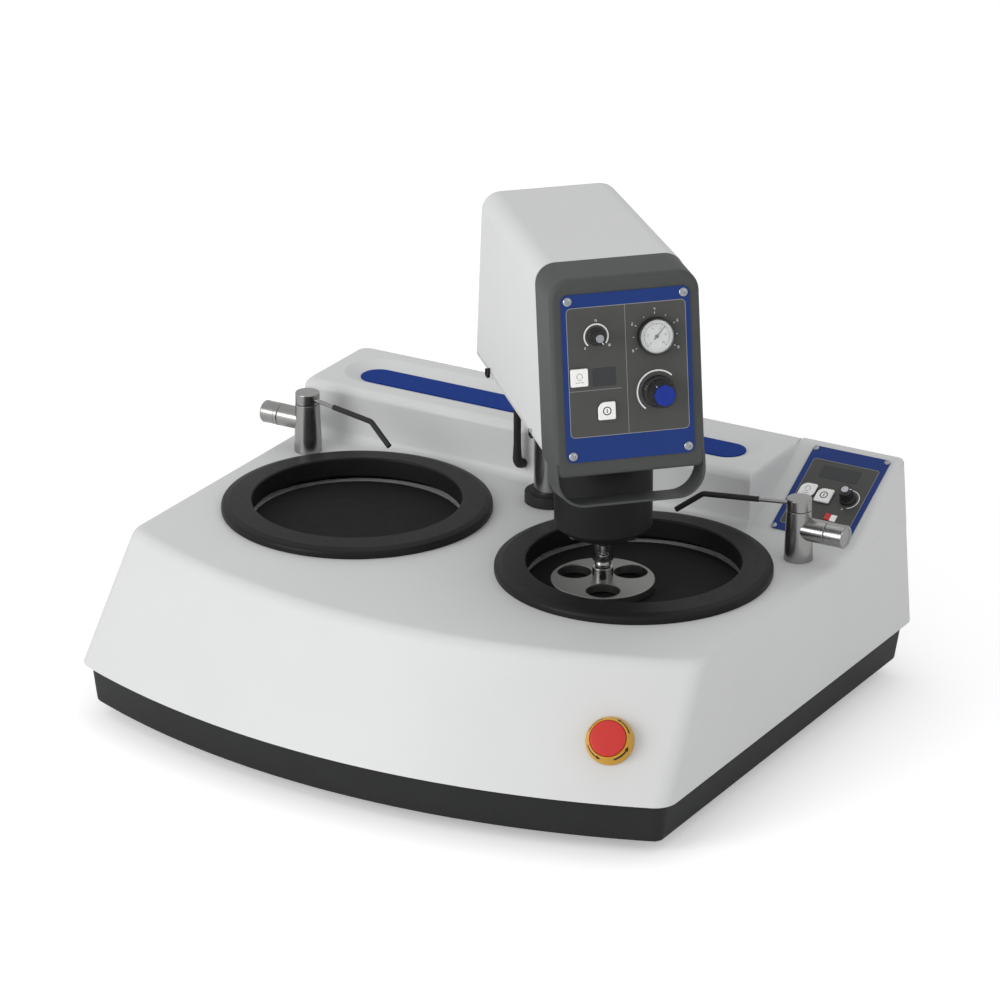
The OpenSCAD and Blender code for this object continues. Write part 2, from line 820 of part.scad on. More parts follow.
module spindle(side) {
    z = side < 0 ? left_belt_z : right_belt_z;
    low = z - pulley_h / 2;
    color([0.6, 0.6, 0.62]) at_disc(side) {
        pulley(pulley_r, z);
        translate([0, 0, low]) cylinder(r = spindle_r, h = platen_low - low);
        translate([0, 0, platen_low - spindle_flange_t]) cylinder(r = spindle_flange_r, h = spindle_flange_t);
        translate([0, 0, platen_low - cut]) cylinder(r = pilot_r, h = pilot_h + cut);
    }
}

module drive_motor() {
    fins = 4;
    fin_pitch = motor_h / (fins + 1);
    color([0.3, 0.32, 0.35]) translate([0, motor_y, chassis_top]) difference() {
        union() {
            cylinder(r = motor_r - motor_fin, h = motor_h);
            for (i = [0:fins]) translate([0, 0, i * fin_pitch]) cylinder(r = motor_r, h = fin_pitch / 2);
        }
        translate([0, 0, -cut]) cylinder(r = motor_shaft_r + run_gap, h = motor_h / 2 + cut);
    }
}

module motor_pulley() {
    low = right_belt_z - pulley_h / 2;
    color([0.6, 0.6, 0.62]) translate([0, motor_y, 0]) {
        pulley(motor_pulley_r, left_belt_z);
        pulley(motor_pulley_r, right_belt_z);
        translate([0, 0, low]) cylinder(r = motor_shaft_r, h = chassis_top + motor_h / 2 - seat_gap - low);
    }
}

module belt_loop(side, grow) {
    hull() {
        translate([side * disc_x, disc_y]) circle(r = pulley_r - groove_d + grow);
        translate([0, motor_y]) circle(r = motor_pulley_r - groove_d + grow);
    }
}

module drive_belts() {
    for (side = [-1, 1])
        color([0.08, 0.08, 0.08]) translate([0, 0, (side < 0 ? left_belt_z : right_belt_z) - belt_h / 2])
            linear_extrude(belt_h) difference() {
                belt_loop(side, seat_gap + belt_t);
                belt_loop(side, seat_gap);
            }
}

// Column

module column() {
    color([0.75, 0.76, 0.78]) difference() {
        union() {
            translate([0, column_y, chassis_top]) cylinder(r = column_r, h = column_top - chassis_top);
            translate([0, column_y, port_z]) rotate([0, 90, conduit_turn])
                cylinder(r = port_r, h = column_r + port_out);
        }
        translate([0, column_y, chassis_top - cut])
            cylinder(r = column_r - column_t, h = column_top - chassis_top + 2 * cut);
        translate([0, column_y, port_z]) rotate([0, 90, conduit_turn])
            cylinder(r = port_bore_r, h = column_r + port_out + cut);
    }
}

module column_flange() {
    step_r = column_r + flange_step[0];
    high = flange_h + flange_step[1];
    color([0.15, 0.15, 0.16]) translate([0, column_y, deck_z]) rotate_extrude() polygon([
        [column_r + run_gap, 0], [flange_r, 0], [flange_r, flange_h - flange_bevel],
        [flange_r - flange_bevel, flange_h], [step_r, flange_h], [step_r, high], [column_r + run_gap, high]]);
}

module cable_conduit() {
    low = conduit_low + conduit_bend_r;
    high = port_z - conduit_bend_r;
    inside = 2 * shell_t;
    port_end = column_r + port_out;
    color([0.05, 0.05, 0.05]) {
        translate([conduit_x, conduit_y + conduit_bend_r - cut, conduit_low]) rotate([-90, 0, 0])
            cylinder(r = ferrule_r, h = upstand_y - conduit_y - conduit_bend_r + inside + cut);
        translate([conduit_x, conduit_y + conduit_bend_r, low]) rotate([0, 90, 180])
            rotate_extrude(angle = 90) translate([conduit_bend_r, 0]) circle(r = ferrule_r + seat_gap);
        translate([conduit_x, conduit_y, low - cut]) cylinder(r = ferrule_r, h = ferrule_top - low + cut);
        translate([conduit_x, conduit_y, ferrule_top - cut]) cylinder(r = conduit_r, h = high - ferrule_top + 2 * cut);
        translate([0, column_y, high]) rotate([0, 0, conduit_turn])
            translate([conduit_reach - conduit_bend_r, 0, 0]) rotate([90, 0, 0])
                rotate_extrude(angle = 90) translate([conduit_bend_r, 0]) circle(r = conduit_r + seat_gap);
        translate([0, column_y, port_z]) rotate([0, 90, conduit_turn]) translate([0, 0, port_end])
            cylinder(r = conduit_r, h = conduit_reach - conduit_bend_r - port_end + cut);
    }
}

// Head

function tail_y(z) = head_tail - tail_lean * (z - head_z) / head_h;
function seam_y(z) = -(face_reach - (z - face_z) * tan(face_tilt) - seam_back);
function casing_ring(inset, y_of, shift, extra) =
    let(hw = head_w / 2 - inset - (y_of < 0 ? 0 : tail_taper), top = head_top - inset, r = head_round - inset / 2, low = head_z - extra,
        pts = concat(
            [[-hw, low], [hw, low]],
            arc([hw - r, top - r], r, 0, 90, 6),
            arc([-hw + r, top - r], r, 90, 180, 6)))
    [for (p = pts) [p[0], (y_of < 0 ? seam_y(p[1]) : tail_y(p[1])) + shift, p[1]]];

module casing(t, over) {
    steps = 4;
    back_r = head_round - t;
    skin(concat(
        [for (i = [0:steps]) casing_ring(
            t + back_r * (1 - sin(90 * i / steps)), 1, -t - back_r * (1 - cos(90 * i / steps)), over)],
        [casing_ring(t, -1, -over, over)]));
}

module profile_sweep() {
    rotate([90, 0, -90]) translate([0, 0, -head_w]) linear_extrude(2 * head_w) children();
}

// Everything in front of the seam between the casing and the front
module beyond_seam() {
    low = head_z - head_tail;
    high = head_top + head_tail;
    profile_sweep() polygon([
        [-seam_y(low), low], [-seam_y(low) + head_h, low], [-seam_y(high) + head_h, high], [-seam_y(high), high]]);
}

module head_shell() {
    color([0.86, 0.87, 0.86]) head_place() difference() {
        casing(0, 2 * cut);
        casing(head_t, 3 * cut);
        translate([-head_w, -face_reach - head_w, head_z - head_h])
            cube([2 * head_w, face_reach + 2 * head_w, head_h]);
        beyond_seam();
    }
}

module head_frame() {
    side_w = head_w - 2 * (head_t + tail_taper + seat_gap);
    front = spindle_reach + housing_r - frame_front_gap;
    back = head_tail - head_round - frame_back_gap;
    color([0.5, 0.52, 0.55]) head_place() difference() {
        union() {
            translate([-side_w / 2, -front, frame_z]) cube([side_w, front + back, frame_t]);
            translate([0, 0, frame_z]) cylinder(r = hub_r, h = hub_top - frame_z);
            for (x = [-1, 1])
                translate([x * hub_r / 2 - frame_rib[0] / 2, -spindle_reach + housing_r, frame_z])
                    cube([frame_rib[0], spindle_reach - housing_r, frame_rib[1]]);
        }
        translate([0, 0, frame_z - cut]) cylinder(r = column_r + run_gap, h = column_top + seat_gap - frame_z + cut);
        translate([0, -spindle_reach, frame_z - cut]) cylinder(r = drive_r + shaft_step, h = frame_t + 2 * cut);
    }
}

// Height on the tilted front, from its middle, of a level plane seen at a depth behind the front
function face_v(z, depth) = (z - face_z + depth * sin(face_tilt)) / cos(face_tilt);

// Rounded outline of the front casing at a depth behind the front, with level top and bottom
function fascia_ring(depth, inset, over) =
    let(hw = head_w / 2 - inset, r = fascia_round - inset, rb = grip_round / 4,
        top = face_v(head_top - inset, depth),
        low = face_v(face_z - face_low * cos(face_tilt) + inset, depth),
        pts = concat(
            arc([-hw + rb, low + rb], rb, 180, 270, 3),
            arc([hw - rb, low + rb], rb, 270, 360, 3),
            arc([hw - r, top - r], r, 0, 90, 6),
            arc([-hw + r, top - r], r, 90, 180, 6)))
    [for (p = pts) [p[0], p[1], over - depth]];

module grip_outline(in) {
    hw = head_w / 2 - in;
    hull() {
        translate([-hw, in - face_low]) square([2 * hw, grip_round]);
        for (x = [-1, 1])
            translate([x * (hw - grip_round + in), -grip_low + grip_round]) circle(r = grip_round - in);
    }
}

module head_fascia() {
    wall = head_t;
    color([0.22, 0.22, 0.23]) difference() {
        union() {
            face_place() skin([fascia_ring(fascia_depth, 0, 0), fascia_ring(0, 0, 0)]);
            face_place() translate([0, 0, -grip_depth]) linear_extrude(grip_depth) difference() {
                grip_outline(0);
                grip_outline(wall);
                translate([-head_w, wall - face_low]) square([2 * head_w, face_low]);
            }
        }
        face_place() skin([fascia_ring(fascia_depth, wall, -cut), fascia_ring(wall, wall, 0)]);
        mover_place() translate([0, 0, frame_z - 4 * fascia_depth])
            cylinder(r = housing_r + seat_gap, h = 4 * fascia_depth + frame_t + seat_gap);
        face_place() {
            translate([timer_at[0], timer_at[1], -2 * wall]) cylinder(r = button_stem_r + run_gap, h = 3 * wall);
            translate([square_at[0], square_at[1], -2 * wall]) cylinder(r = button_stem_r + run_gap, h = 3 * wall);
            translate([start_at[0], start_at[1], -2 * wall]) cylinder(r = button_stem_r + run_gap, h = 3 * wall);
            translate([gauge_at[0], gauge_at[1], -2 * wall]) cylinder(r = 2 * button_stem_r, h = 3 * wall);
            translate([pressure_at[0], pressure_at[1], -2 * wall]) cylinder(r = button_stem_r + run_gap, h = 3 * wall);
        }
    }
}

module panel_plate(w, h, r) {
    linear_extrude(panel_t) hull() {
        for (x = [-1, 1], y = [-1, 1]) translate([x * (w / 2 - r), y * (h / 2 - r)]) circle(r = r, $fn = 32);
    }
}

module head_panel() {
    color([0.1, 0.2, 0.55]) face_place() difference() {
        panel_plate(head_panel_w, head_panel_h, head_panel_round);
        for (p = [timer_at, square_at, start_at, pressure_at])
            translate([p[0], p[1], -cut]) cylinder(r = button_stem_r + run_gap, h = panel_t + 2 * cut);
        translate([gauge_at[0], gauge_at[1], -cut]) cylinder(r = 2 * button_stem_r, h = panel_t + 2 * cut);
    }
}

module dome_screws(w, h, r) {
    for (x = [-1, 1], y = [-1, 1]) color([0.7, 0.71, 0.73])
        translate([x * (w / 2 - screw_in), y * (h / 2 - screw_in), panel_t])
            rotate_extrude() polygon([[0, 0], [r, 0], [r, r / 5], [r * 0.8, r * 0.4], [0, r * 0.44]]);
}

module head_panel_screws() {
    face_place() dome_screws(head_panel_w, head_panel_h, screw_head_r);
}

module gauge_case() {
    color([0.1, 0.1, 0.1]) face_place() translate([gauge_at[0], gauge_at[1], panel_t]) difference() {
        union() {
            cylinder(r = gauge_r, h = gauge_h);
            translate([0, 0, -panel_t - 2 * head_t]) cylinder(r = 2 * button_stem_r, h = panel_t + 3 * head_t);
        }
        translate([0, 0, gauge_h - dial_in]) cylinder(r = gauge_r - gauge_rim, h = dial_in + cut);
        translate([0, 0, gauge_h - 2 * dial_in]) cylinder(r = needle_pin_r + run_gap, h = 2 * dial_in + cut);
    }
}

module gauge_needle() {
    needle_l = gauge_r - gauge_rim - needle_gap;
    tail_l = needle_l / 3;
    lift = gauge_h - dial_in + seat_gap;
    color([0.05, 0.05, 0.05]) face_place() translate([gauge_at[0], gauge_at[1], panel_t]) {
        translate([0, 0, gauge_h - 2 * dial_in + seat_gap]) cylinder(r = needle_pin_r, h = 2 * dial_in - 3 * seat_gap - lens_t);
        rotate([0, 0, needle_a + 90]) translate([-needle_w / 2, -tail_l, lift])
            cube([needle_w, needle_l + tail_l, needle_w / 1.5]);
        translate([0, 0, lift]) cylinder(r = needle_hub_r, h = needle_w);
    }
}

module gauge_lens() {
    color([0.9, 0.95, 1, 0.3]) face_place()
        translate([gauge_at[0], gauge_at[1], panel_t + gauge_h - lens_t - seat_gap / 3])
            cylinder(r = gauge_r - gauge_rim, h = lens_t);
}

module knob_body(r, h, cap, share) {
    skirt = h / 5;
    translate([0, 0, panel_t + seat_gap]) {
        cylinder(r = r, h = skirt);
        translate([0, 0, skirt - cut / 2]) cylinder(r = r * 0.82, h = h - skirt - cap + cut / 2);
        translate([0, 0, h - cap - cut / 2]) cylinder(r = r * share, h = cap + cut / 2);
    }
    translate([0, 0, -stem_in]) cylinder(r = button_stem_r, h = stem_in + panel_t + 2 * seat_gap);
}

module pressure_knob() {
    color([0.08, 0.08, 0.08]) face_place() translate([pressure_at[0], pressure_at[1], 0])
        knob_body(pressure_knob_r, 1.7 * pressure_knob_r, 0.3 * pressure_knob_r, 0.68);
}

module timer_knob() {
    color([0.08, 0.08, 0.08]) face_place() translate([timer_at[0], timer_at[1], 0])
        knob_body(small_knob_r, 1.7 * small_knob_r, 0.2 * small_knob_r, 0.46);
}

// Push button with one corner cut off at 45 degrees, or none
module push_button(chop) {
    half = button_w / 2;
    color([0.93, 0.93, 0.93]) {
        translate([0, 0, cap_low]) linear_extrude(button_h) polygon(chop > 0
            ? [[-half, -half], [half, -half], [half, half], [-half + chop, half], [-half, half - chop]]
            : [[-half, -half], [half, -half], [half, half], [-half, half]]);
        translate([0, 0, -stem_in]) cylinder(r = button_stem_r, h = stem_in + cap_low + cut / 2);
        translate([0, 0, -stem_in - head_t / 2]) cylinder(r = button_stem_r * 4 / 3, h = head_t / 2);
    }
}

module head_square_button() {
    face_place() translate([square_at[0], square_at[1], 0]) push_button(0);
}

module head_start_button() {
    face_place() translate([start_at[0], start_at[1], 0]) push_button(button_w / 3);
}

module head_motor() {
    body_r = housing_r * 0.75;
    low = frame_z + frame_t;
    color([0.35, 0.36, 0.38]) mover_place() difference() {
        union() {
            translate([0, 0, low]) cylinder(r = body_r, h = head_top - low - head_t - motor_room);
            translate([0, 0, low]) cylinder(r = body_r + motor_flange[0], h = motor_flange[1]);
        }
        translate([0, 0, low - cut])
            cylinder(r = drive_r - shaft_step + run_gap, h = shaft_top_z - low + shaft_lift + seat_gap + cut);
    }
}

module spindle_housing() {
    hole_r = drive_r + housing_lid;
    color([0.2, 0.2, 0.21]) mover_place() rotate_extrude() polygon([
        [housing_in_r, housing_low], [housing_r - housing_bevel, housing_low],
        [housing_r, housing_low + housing_bevel], [housing_r, frame_z], [hole_r, frame_z],
        [hole_r, frame_z - housing_lid], [housing_in_r, frame_z - housing_lid]]);
}

module drive_plate() {
    neck_h = frame_z - housing_lid - seat_gap - plate_low - plate_h;
    color([0.12, 0.12, 0.12]) mover_place() difference() {
        union() {
            translate([0, 0, plate_low]) cylinder(r = housing_in_r - run_gap, h = plate_h);
            translate([0, 0, plate_low - plate_cone[1]])
                cylinder(r1 = housing_in_r - run_gap - plate_cone[0], r2 = housing_in_r - run_gap, h = plate_cone[1]);
            translate([0, 0, plate_low + plate_h - cut]) cylinder(r = drive_r + neck_wall, h = neck_h + cut);
        }
        translate([0, 0, plate_low - 2 * plate_cone[1]])
            cylinder(r = drive_r + run_gap, h = plate_h + neck_h + 3 * plate_cone[1]);
        for (a = finger_angles) rotate([0, 0, a - head_angle])
            translate([sample_circle_r, 0, plate_low - 2 * plate_cone[1]])
                cylinder(r = finger_r + run_gap, h = plate_h + 3 * plate_cone[1]);
    }
}

module drive_shaft() {
    chuck_top = holder_top + boss_h;
    thick_top = frame_z + frame_t - shaft_lift - shaft_play;
    thin_r = drive_r - shaft_step;
    color([0.3, 0.3, 0.31]) mover_place() {
        translate([0, 0, holder_top + shaft_play]) cylinder(r = boss_bore_r - run_gap, h = boss_h + shaft_play);
        translate([0, 0, chuck_top + seat_gap]) cylinder(r1 = drive_r - chuck_taper, r2 = thin_r, h = chuck_h);
        translate([0, 0, chuck_top + chuck_h]) cylinder(r = drive_r, h = thick_top - chuck_top - chuck_h);
        translate([0, 0, thick_top - cut]) cylinder(r = thin_r, h = shaft_top_z - thick_top + cut);
    }
}

module finger(n) {
    pad_r = finger_r + pad_out;
    color([0.75, 0.76, 0.78]) mover_place() rotate([0, 0, finger_angles[n] - head_angle])
        translate([sample_circle_r, 0, 0]) {
            translate([0, 0, finger_tip]) cylinder(r1 = pad_r - pad_bevel, r2 = pad_r, h = pad_h / 3);
            translate([0, 0, finger_tip + pad_h / 3 - cut / 10]) cylinder(r = pad_r, h = pad_h / 2);
            translate([0, 0, finger_tip + pad_h / 2]) cylinder(r = finger_r, h = finger_top - finger_tip - pad_h / 2);
        }
}

module sample_holder() {
    holder_r = holder_d / 2;
    color([0.7, 0.71, 0.72]) mover_place() difference() {
        union() {
            translate([0, 0, holder_low]) cylinder(r = holder_r, h = holder_t);
            translate([0, 0, holder_top - cut]) cylinder(r = drive_r, h = boss_h + cut);
            for (a = finger_angles) rotate([0, 0, a - head_angle]) translate([0, 0, holder_low + holder_t / 2])
                rotate([0, 90, 0]) translate([0, 0, holder_r - clamp_in]) cylinder(r = clamp_r, h = clamp_l);
        }
        for (a = finger_angles) rotate([0, 0, a - head_angle])
            translate([sample_circle_r, 0, holder_low - cut]) cylinder(r = sample_d / 2, h = holder_t + 2 * cut);
        translate([0, 0, holder_top]) cylinder(r = boss_bore_r, h = boss_h + cut);
        rotate([0, 0, -60 - head_angle]) translate([0, 0, holder_top + boss_h / 3]) {
            rotate([0, 90, 0]) cylinder(r = keyhole_r, h = drive_r + cut);
            translate([0, -keyhole_r / 2, 0]) cube([drive_r + cut, keyhole_r, boss_h / 2]);
        }
    }
}

// Water taps

module tap_pillar(side) {
    cap_seam = tap_h - cap_h;
    color([0.75, 0.76, 0.78]) tap_place(side) difference() {
        union() {
            cylinder(r1 = tap_r, r2 = cap_r, h = cap_seam);
            translate([0, 0, cap_seam - cut]) cylinder(r = pin_r, h = pin_h + cut);
            translate([0, 0, -shell_t - nut_h]) cylinder(r = shank_r, h = shell_t + nut_h + cut);
            translate([0, 0, -shell_t - nut_h]) cylinder(r = nut_r, h = nut_h);
            translate([0, 0, valve_h]) rotate([0, 90, 0]) cylinder(r = valve_r, h = valve_l);
        }
        translate([valve_l - knob_pin_l, 0, valve_h]) rotate([0, 90, 0])
            cylinder(r = knob_pin_r + run_gap, h = knob_pin_l + cut);
    }
}

module tap_knob(side) {
    color([0.75, 0.76, 0.78]) tap_place(side) translate([valve_l + seat_gap, 0, valve_h]) rotate([0, 90, 0]) {
        cylinder(r = valve_r, h = tap_knob_l - knob_bevel[0]);
        translate([0, 0, tap_knob_l - knob_bevel[0]])
            cylinder(r1 = valve_r, r2 = valve_r - knob_bevel[1], h = knob_bevel[0]);
        translate([0, 0, -knob_pin_l]) cylinder(r = knob_pin_r, h = knob_pin_l + cut);
    }
}

module spout_place(side) {
    translate([side * tap_x, tap_y, 0]) rotate([0, 0, side < 0 ? -spout_angle : 180 + spout_angle]) children();
}

module spout(side) {
    low = cap_low_z + seat_gap;
    color([0.75, 0.76, 0.78]) spout_place(side) difference() {
        union() {
            translate([0, 0, low]) cylinder(r = cap_r, h = cap_h - seat_gap);
            translate([0, 0, tube_z]) rotate([0, 90, 0]) cylinder(r = tube_r, h = bare_l + sleeve_lap);
        }
        translate([0, 0, low - cut]) cylinder(r = pin_r + run_gap, h = pin_h + cut);
        translate([0, 0, tube_z]) rotate([0, 90, 0]) cylinder(r = tube_r - tube_wall, h = bare_l + sleeve_lap + cut);
    }
}

// Sleeve along X, round a bend and down, at one radius
module sleeve_path(r, over) {
    straight = spout_l - spout_bend_r * tan(spout_drop / 2);
    swell = seat_gap / 2;
    translate([bare_l - over, 0, 0]) rotate([0, 90, 0]) cylinder(r = r, h = straight - bare_l + over + cut / 2);
    translate([straight, 0, -spout_bend_r]) rotate([0, spout_drop, 0]) {
        rotate([90, 0, 0]) rotate([0, 0, 90]) rotate_extrude(angle = spout_drop)
            translate([spout_bend_r, 0]) circle(r = r + swell);
        translate([-cut / 2, 0, spout_bend_r]) rotate([0, 90, 0]) cylinder(r = r, h = spout_end + over + cut / 2);
    }
}

module spout_sleeve(side) {
    color([0.06, 0.06, 0.06]) spout_place(side) translate([0, 0, tube_z]) difference() {
        sleeve_path(sleeve_r, 0);
        sleeve_path(sleeve_bore_r, cut);
        translate([bare_l - cut, 0, 0]) rotate([0, 90, 0]) cylinder(r = tube_r, h = sleeve_lap + cut + seat_gap);
    }
}

// Console

module console_panel() {
    color([0.1, 0.2, 0.55]) console_place() difference() {
        panel_plate(console_panel_w, console_panel_h, console_panel_round);
        for (p = [leaf_at, cut_at, speed_at])
            translate([p[0], p[1], -cut]) cylinder(r = button_stem_r + run_gap, h = panel_t + 2 * cut);
        translate([rocker_at[0], rocker_at[1], 0])
            cube([rocker_w + 2 * seat_gap, rocker_d + 2 * seat_gap, 4 * panel_t], center = true);
    }
}

module console_screws() {
    console_place() dome_screws(console_panel_w + screw_in, console_panel_h + screw_in, screw_head_r * 0.7);
}

module console_leaf_button() {
    console_place() translate([leaf_at[0], leaf_at[1], 0]) push_button(button_w / 2);
}

module console_square_button() {
    console_place() translate([cut_at[0], cut_at[1], 0]) push_button(button_w / 3);
}

module console_knob() {
    color([0.08, 0.08, 0.08]) console_place() translate([speed_at[0], speed_at[1], 0])
        knob_body(small_knob_r, 1.9 * small_knob_r, 0.2 * small_knob_r, 0.46);
}

module console_rocker() {
    rise = panel_t / 2 + rocker_h / 7;
    color([0.7, 0.1, 0.1]) console_place()
        translate([rocker_at[0], rocker_at[1], panel_t / 2]) rotate([90, 0, 0]) intersection() {
            cylinder(r = rocker_w / 2, h = rocker_d, center = true);
            linear_extrude(rocker_d, center = true) polygon([
                [-rocker_w / 2, -rocker_h], [rocker_w / 2, -rocker_h], [rocker_w / 2, rise],
                [0, rise], [-rocker_w / 2, rise + rocker_w / 2 * tan(rocker_tilt)]]);
        }
}

// Stop button

module estop_collar() {
    back = shell_t + stop_off;
    color([0.95, 0.75, 0.1]) stop_place() difference() {
        union() {
            translate([0, 0, stop_off]) cylinder(r1 = stop_collar_r, r2 = stop_r + seat_gap + stop_rim, h = stop_collar_h);
            translate([0, 0, -stop_block_low]) cylinder(r = stop_barrel_r, h = stop_block_low + stop_off + cut);
            translate([0, 0, -back - stop_nut_h]) cylinder(r = stop_nut_r, h = stop_nut_h);
            translate([-stop_block_w / 2, -stop_block_w / 2, -stop_block_low])
                cube([stop_block_w, stop_block_w, stop_block_low / 2]);
        }
        translate([0, 0, stop_floor]) cylinder(r = stop_r + seat_gap, h = stop_collar_h + cut);
        translate([0, 0, -stop_block_low + stop_block_floor])
            cylinder(r = stop_stem_r + run_gap, h = stop_block_low + stop_floor);
    }
}

module estop_stem() {
    low = -stop_block_low + stop_block_floor + stop_play + stop_travel;
    color([0.3, 0.3, 0.3]) stop_place() translate([0, 0, low])
        cylinder(r = stop_stem_r, h = stop_floor + stop_travel + stop_lap - low);
}

module estop_head() {
    low = stop_floor + stop_travel + seat_gap;
    wall_h = stop_head_h - stop_bevel;
    color([0.8, 0.1, 0.1]) stop_place() difference() {
        union() {
            translate([0, 0, low]) cylinder(r = stop_r, h = wall_h);
            translate([0, 0, low + wall_h]) cylinder(r1 = stop_r, r2 = stop_r - stop_bevel, h = stop_bevel);
        }
        translate([0, 0, low - cut]) cylinder(r = stop_stem_r + run_gap, h = cut + stop_lap);
    }
}

// Rear connections

module inlet_place() {
    translate([disc_x, back_y, chassis_top + rear_up]) rotate([90, 0, 180]) children();
}

module fitting_place() {
    for (i = [0:2]) translate([-disc_x + i * 6 * fitting_r, back_y, chassis_top + rear_up])
        rotate([-90, 0, 0]) children();
}

module mains_inlet() {
    color([0.1, 0.1, 0.1]) inlet_place() difference() {
        union() {
            translate([-inlet_w / 2, -inlet_h / 2, 0]) cube([inlet_w, inlet_h, inlet_plate]);
            translate([-inlet_w / 2 + shell_t, -inlet_h / 2 + shell_t, -inlet_body[0]])
                cube([inlet_w - 2 * shell_t, inlet_h - 2 * shell_t, inlet_body[0] + cut]);
        }
        translate([-inlet_w / 3, -inlet_h / 4, -inlet_body[1]])
            cube([inlet_w / 1.5, inlet_h / 2, 2 * inlet_body[1]]);
    }
}

module hose_fittings() {
    step = fitting_out / 4;
    color([0.7, 0.62, 0.35]) fitting_place() difference() {
        union() {
            translate([0, 0, -4 * shell_t]) cylinder(r = fitting_r, h = fitting_out + 4 * shell_t);
            cylinder(r = fitting_r + fitting_flange, h = step);
            for (i = [2, 3]) translate([0, 0, i * step])
                cylinder(r1 = fitting_r + fitting_barb, r2 = fitting_r, h = step);
        }
        translate([0, 0, -4 * shell_t - cut]) cylinder(r = fitting_r - fitting_wall, h = fitting_out + 4 * shell_t + 2 * cut);
    }
}

base_tray();
feet();
chassis();
body_shell();
tray_liner();
bowl(-1);  // left_bowl
bowl(1);  // right_bowl
splash_ring(-1);  // left_splash_ring
splash_ring(1);  // right_splash_ring
platen(-1);  // left_platen
platen(1);  // right_platen
disc(-1);  // left_disc
disc(1);  // right_disc
spindle(-1);  // left_spindle
spindle(1);  // right_spindle
drive_motor();
motor_pulley();
drive_belts();
column();
column_flange();
cable_conduit();
head_frame();
head_shell();
head_fascia();
head_panel();
head_panel_screws();
gauge_case();
gauge_lens();
gauge_needle();
pressure_knob();
timer_knob();
head_square_button();
head_start_button();
head_motor();
spindle_housing();
drive_plate();
drive_shaft();
sample_holder();
finger(0);  // finger_1
finger(1);  // finger_2
finger(2);  // finger_3
tap_pillar(-1);  // left_tap_pillar
tap_pillar(1);  // right_tap_pillar
tap_knob(-1);  // left_tap_knob
tap_knob(1);  // right_tap_knob
spout(-1);  // left_spout
spout(1);  // right_spout
spout_sleeve(-1);  // left_spout_sleeve
spout_sleeve(1);  // right_spout_sleeve
console_panel();
console_screws();
console_leaf_button();
console_square_button();
console_knob();
console_rocker();
estop_collar();
estop_stem();
estop_head();
mains_inlet();
hose_fittings();
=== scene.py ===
"""Dresses the CAD frame of a twin-disc grinder-polisher with smooth pieces and procedural finishes."""

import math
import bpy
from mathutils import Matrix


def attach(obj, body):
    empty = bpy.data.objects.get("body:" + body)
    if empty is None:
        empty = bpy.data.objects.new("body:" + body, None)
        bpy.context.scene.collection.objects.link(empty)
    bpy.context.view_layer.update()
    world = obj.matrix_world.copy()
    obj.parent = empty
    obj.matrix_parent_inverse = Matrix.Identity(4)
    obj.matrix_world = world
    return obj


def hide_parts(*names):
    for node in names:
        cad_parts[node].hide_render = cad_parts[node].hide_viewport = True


bl_info = {
    "name": "Grinder-polisher dresser",
    "version": (1, 0, 0),
    "blender": (4, 5, 0),
    "location": "3D View > Sidebar > Polisher",
    "description": "Builds the visible pieces of a bench-top grinder-polisher round its CAD frame",
    "category": "Object",
}

import bpy
import numpy as np
from bpy.props import FloatProperty, FloatVectorProperty, IntProperty, PointerProperty
from mathutils import Matrix, Vector
from mathutils.geometry import tessellate_polygon

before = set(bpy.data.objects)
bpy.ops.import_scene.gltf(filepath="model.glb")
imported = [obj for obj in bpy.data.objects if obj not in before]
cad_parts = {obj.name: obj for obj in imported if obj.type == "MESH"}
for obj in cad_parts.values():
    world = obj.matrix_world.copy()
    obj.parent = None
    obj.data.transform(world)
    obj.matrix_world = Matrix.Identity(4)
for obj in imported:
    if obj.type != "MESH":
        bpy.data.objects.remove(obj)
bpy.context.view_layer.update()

MM = 0.001
SEED = 7


# Settings


def length(label, text, value, low=0.0):
    """A length in metres, from a value in millimetres."""
    return FloatProperty(name=label, description=text, default=value * MM, min=low, unit="LENGTH", precision=4)


def angle(label, text, value):
    """An angle property."""
    return FloatProperty(name=label, description=text, default=math.radians(value), unit="ROTATION")


def colour(label, text, value):
    """A colour property."""
    return FloatVectorProperty(name=label, description=text, default=value, size=3, min=0.0, max=1.0,
        subtype="COLOR")


class HousingSettings(bpy.types.PropertyGroup):
    """Sizes of the housing, the tray and the upstand."""

    width: length("Width", "Width along the lower edge", 780)
    front: length("Front", "Distance of the bow's apex in front of the origin", 352)
    back: length("Back", "Distance of the back wall behind the origin", 330)
    rim: length("Rim", "Height of the lower edge", 64)
    deck: length("Deck", "Height of the work deck", 200)
    deck_width: length("Deck width", "Width at deck level", 760)
    top_width: length("Top width", "Width along the upstand's top", 750)
    top: length("Top", "Height of the upstand's top", 268)
    rake: length("Rake", "Set-back of the deck's front edge", 89)
    rim_bow: length("Rim bow", "Radius of the lower edge's bow", 993)
    deck_bow: length("Deck bow", "Radius of the deck edge's bow", 850)
    front_corner: length("Front corners", "Plan radius of the front corners", 28)
    back_corner: length("Back corners", "Plan radius of the back corners", 12)
    edge: length("Edge", "Roundness of the deck's edge", 10)
    upstand: length("Upstand", "Distance of the upstand's face behind the origin", 189)
    console: length("Console", "Distance of the console's side from the middle", 243)
    foot: length("Foot", "Height of the feet", 16)


class DiscSettings(bpy.types.PropertyGroup):
    """Sizes of the two disc stations."""

    disc: length("Disc", "Radius of the abrasive discs", 125)
    pitch: length("Offset", "Distance of each disc's centre from the middle plane", 186)
    row: length("Row", "Distance of the disc centres behind the origin", 14)
    drop: length("Drop", "Depth of the discs below the deck", 17.5)
    ring: length("Ring", "Outer radius of the splash rings", 159.7)
    lip: length("Lip", "Radius of the splash rings' inner edge", 123.5)


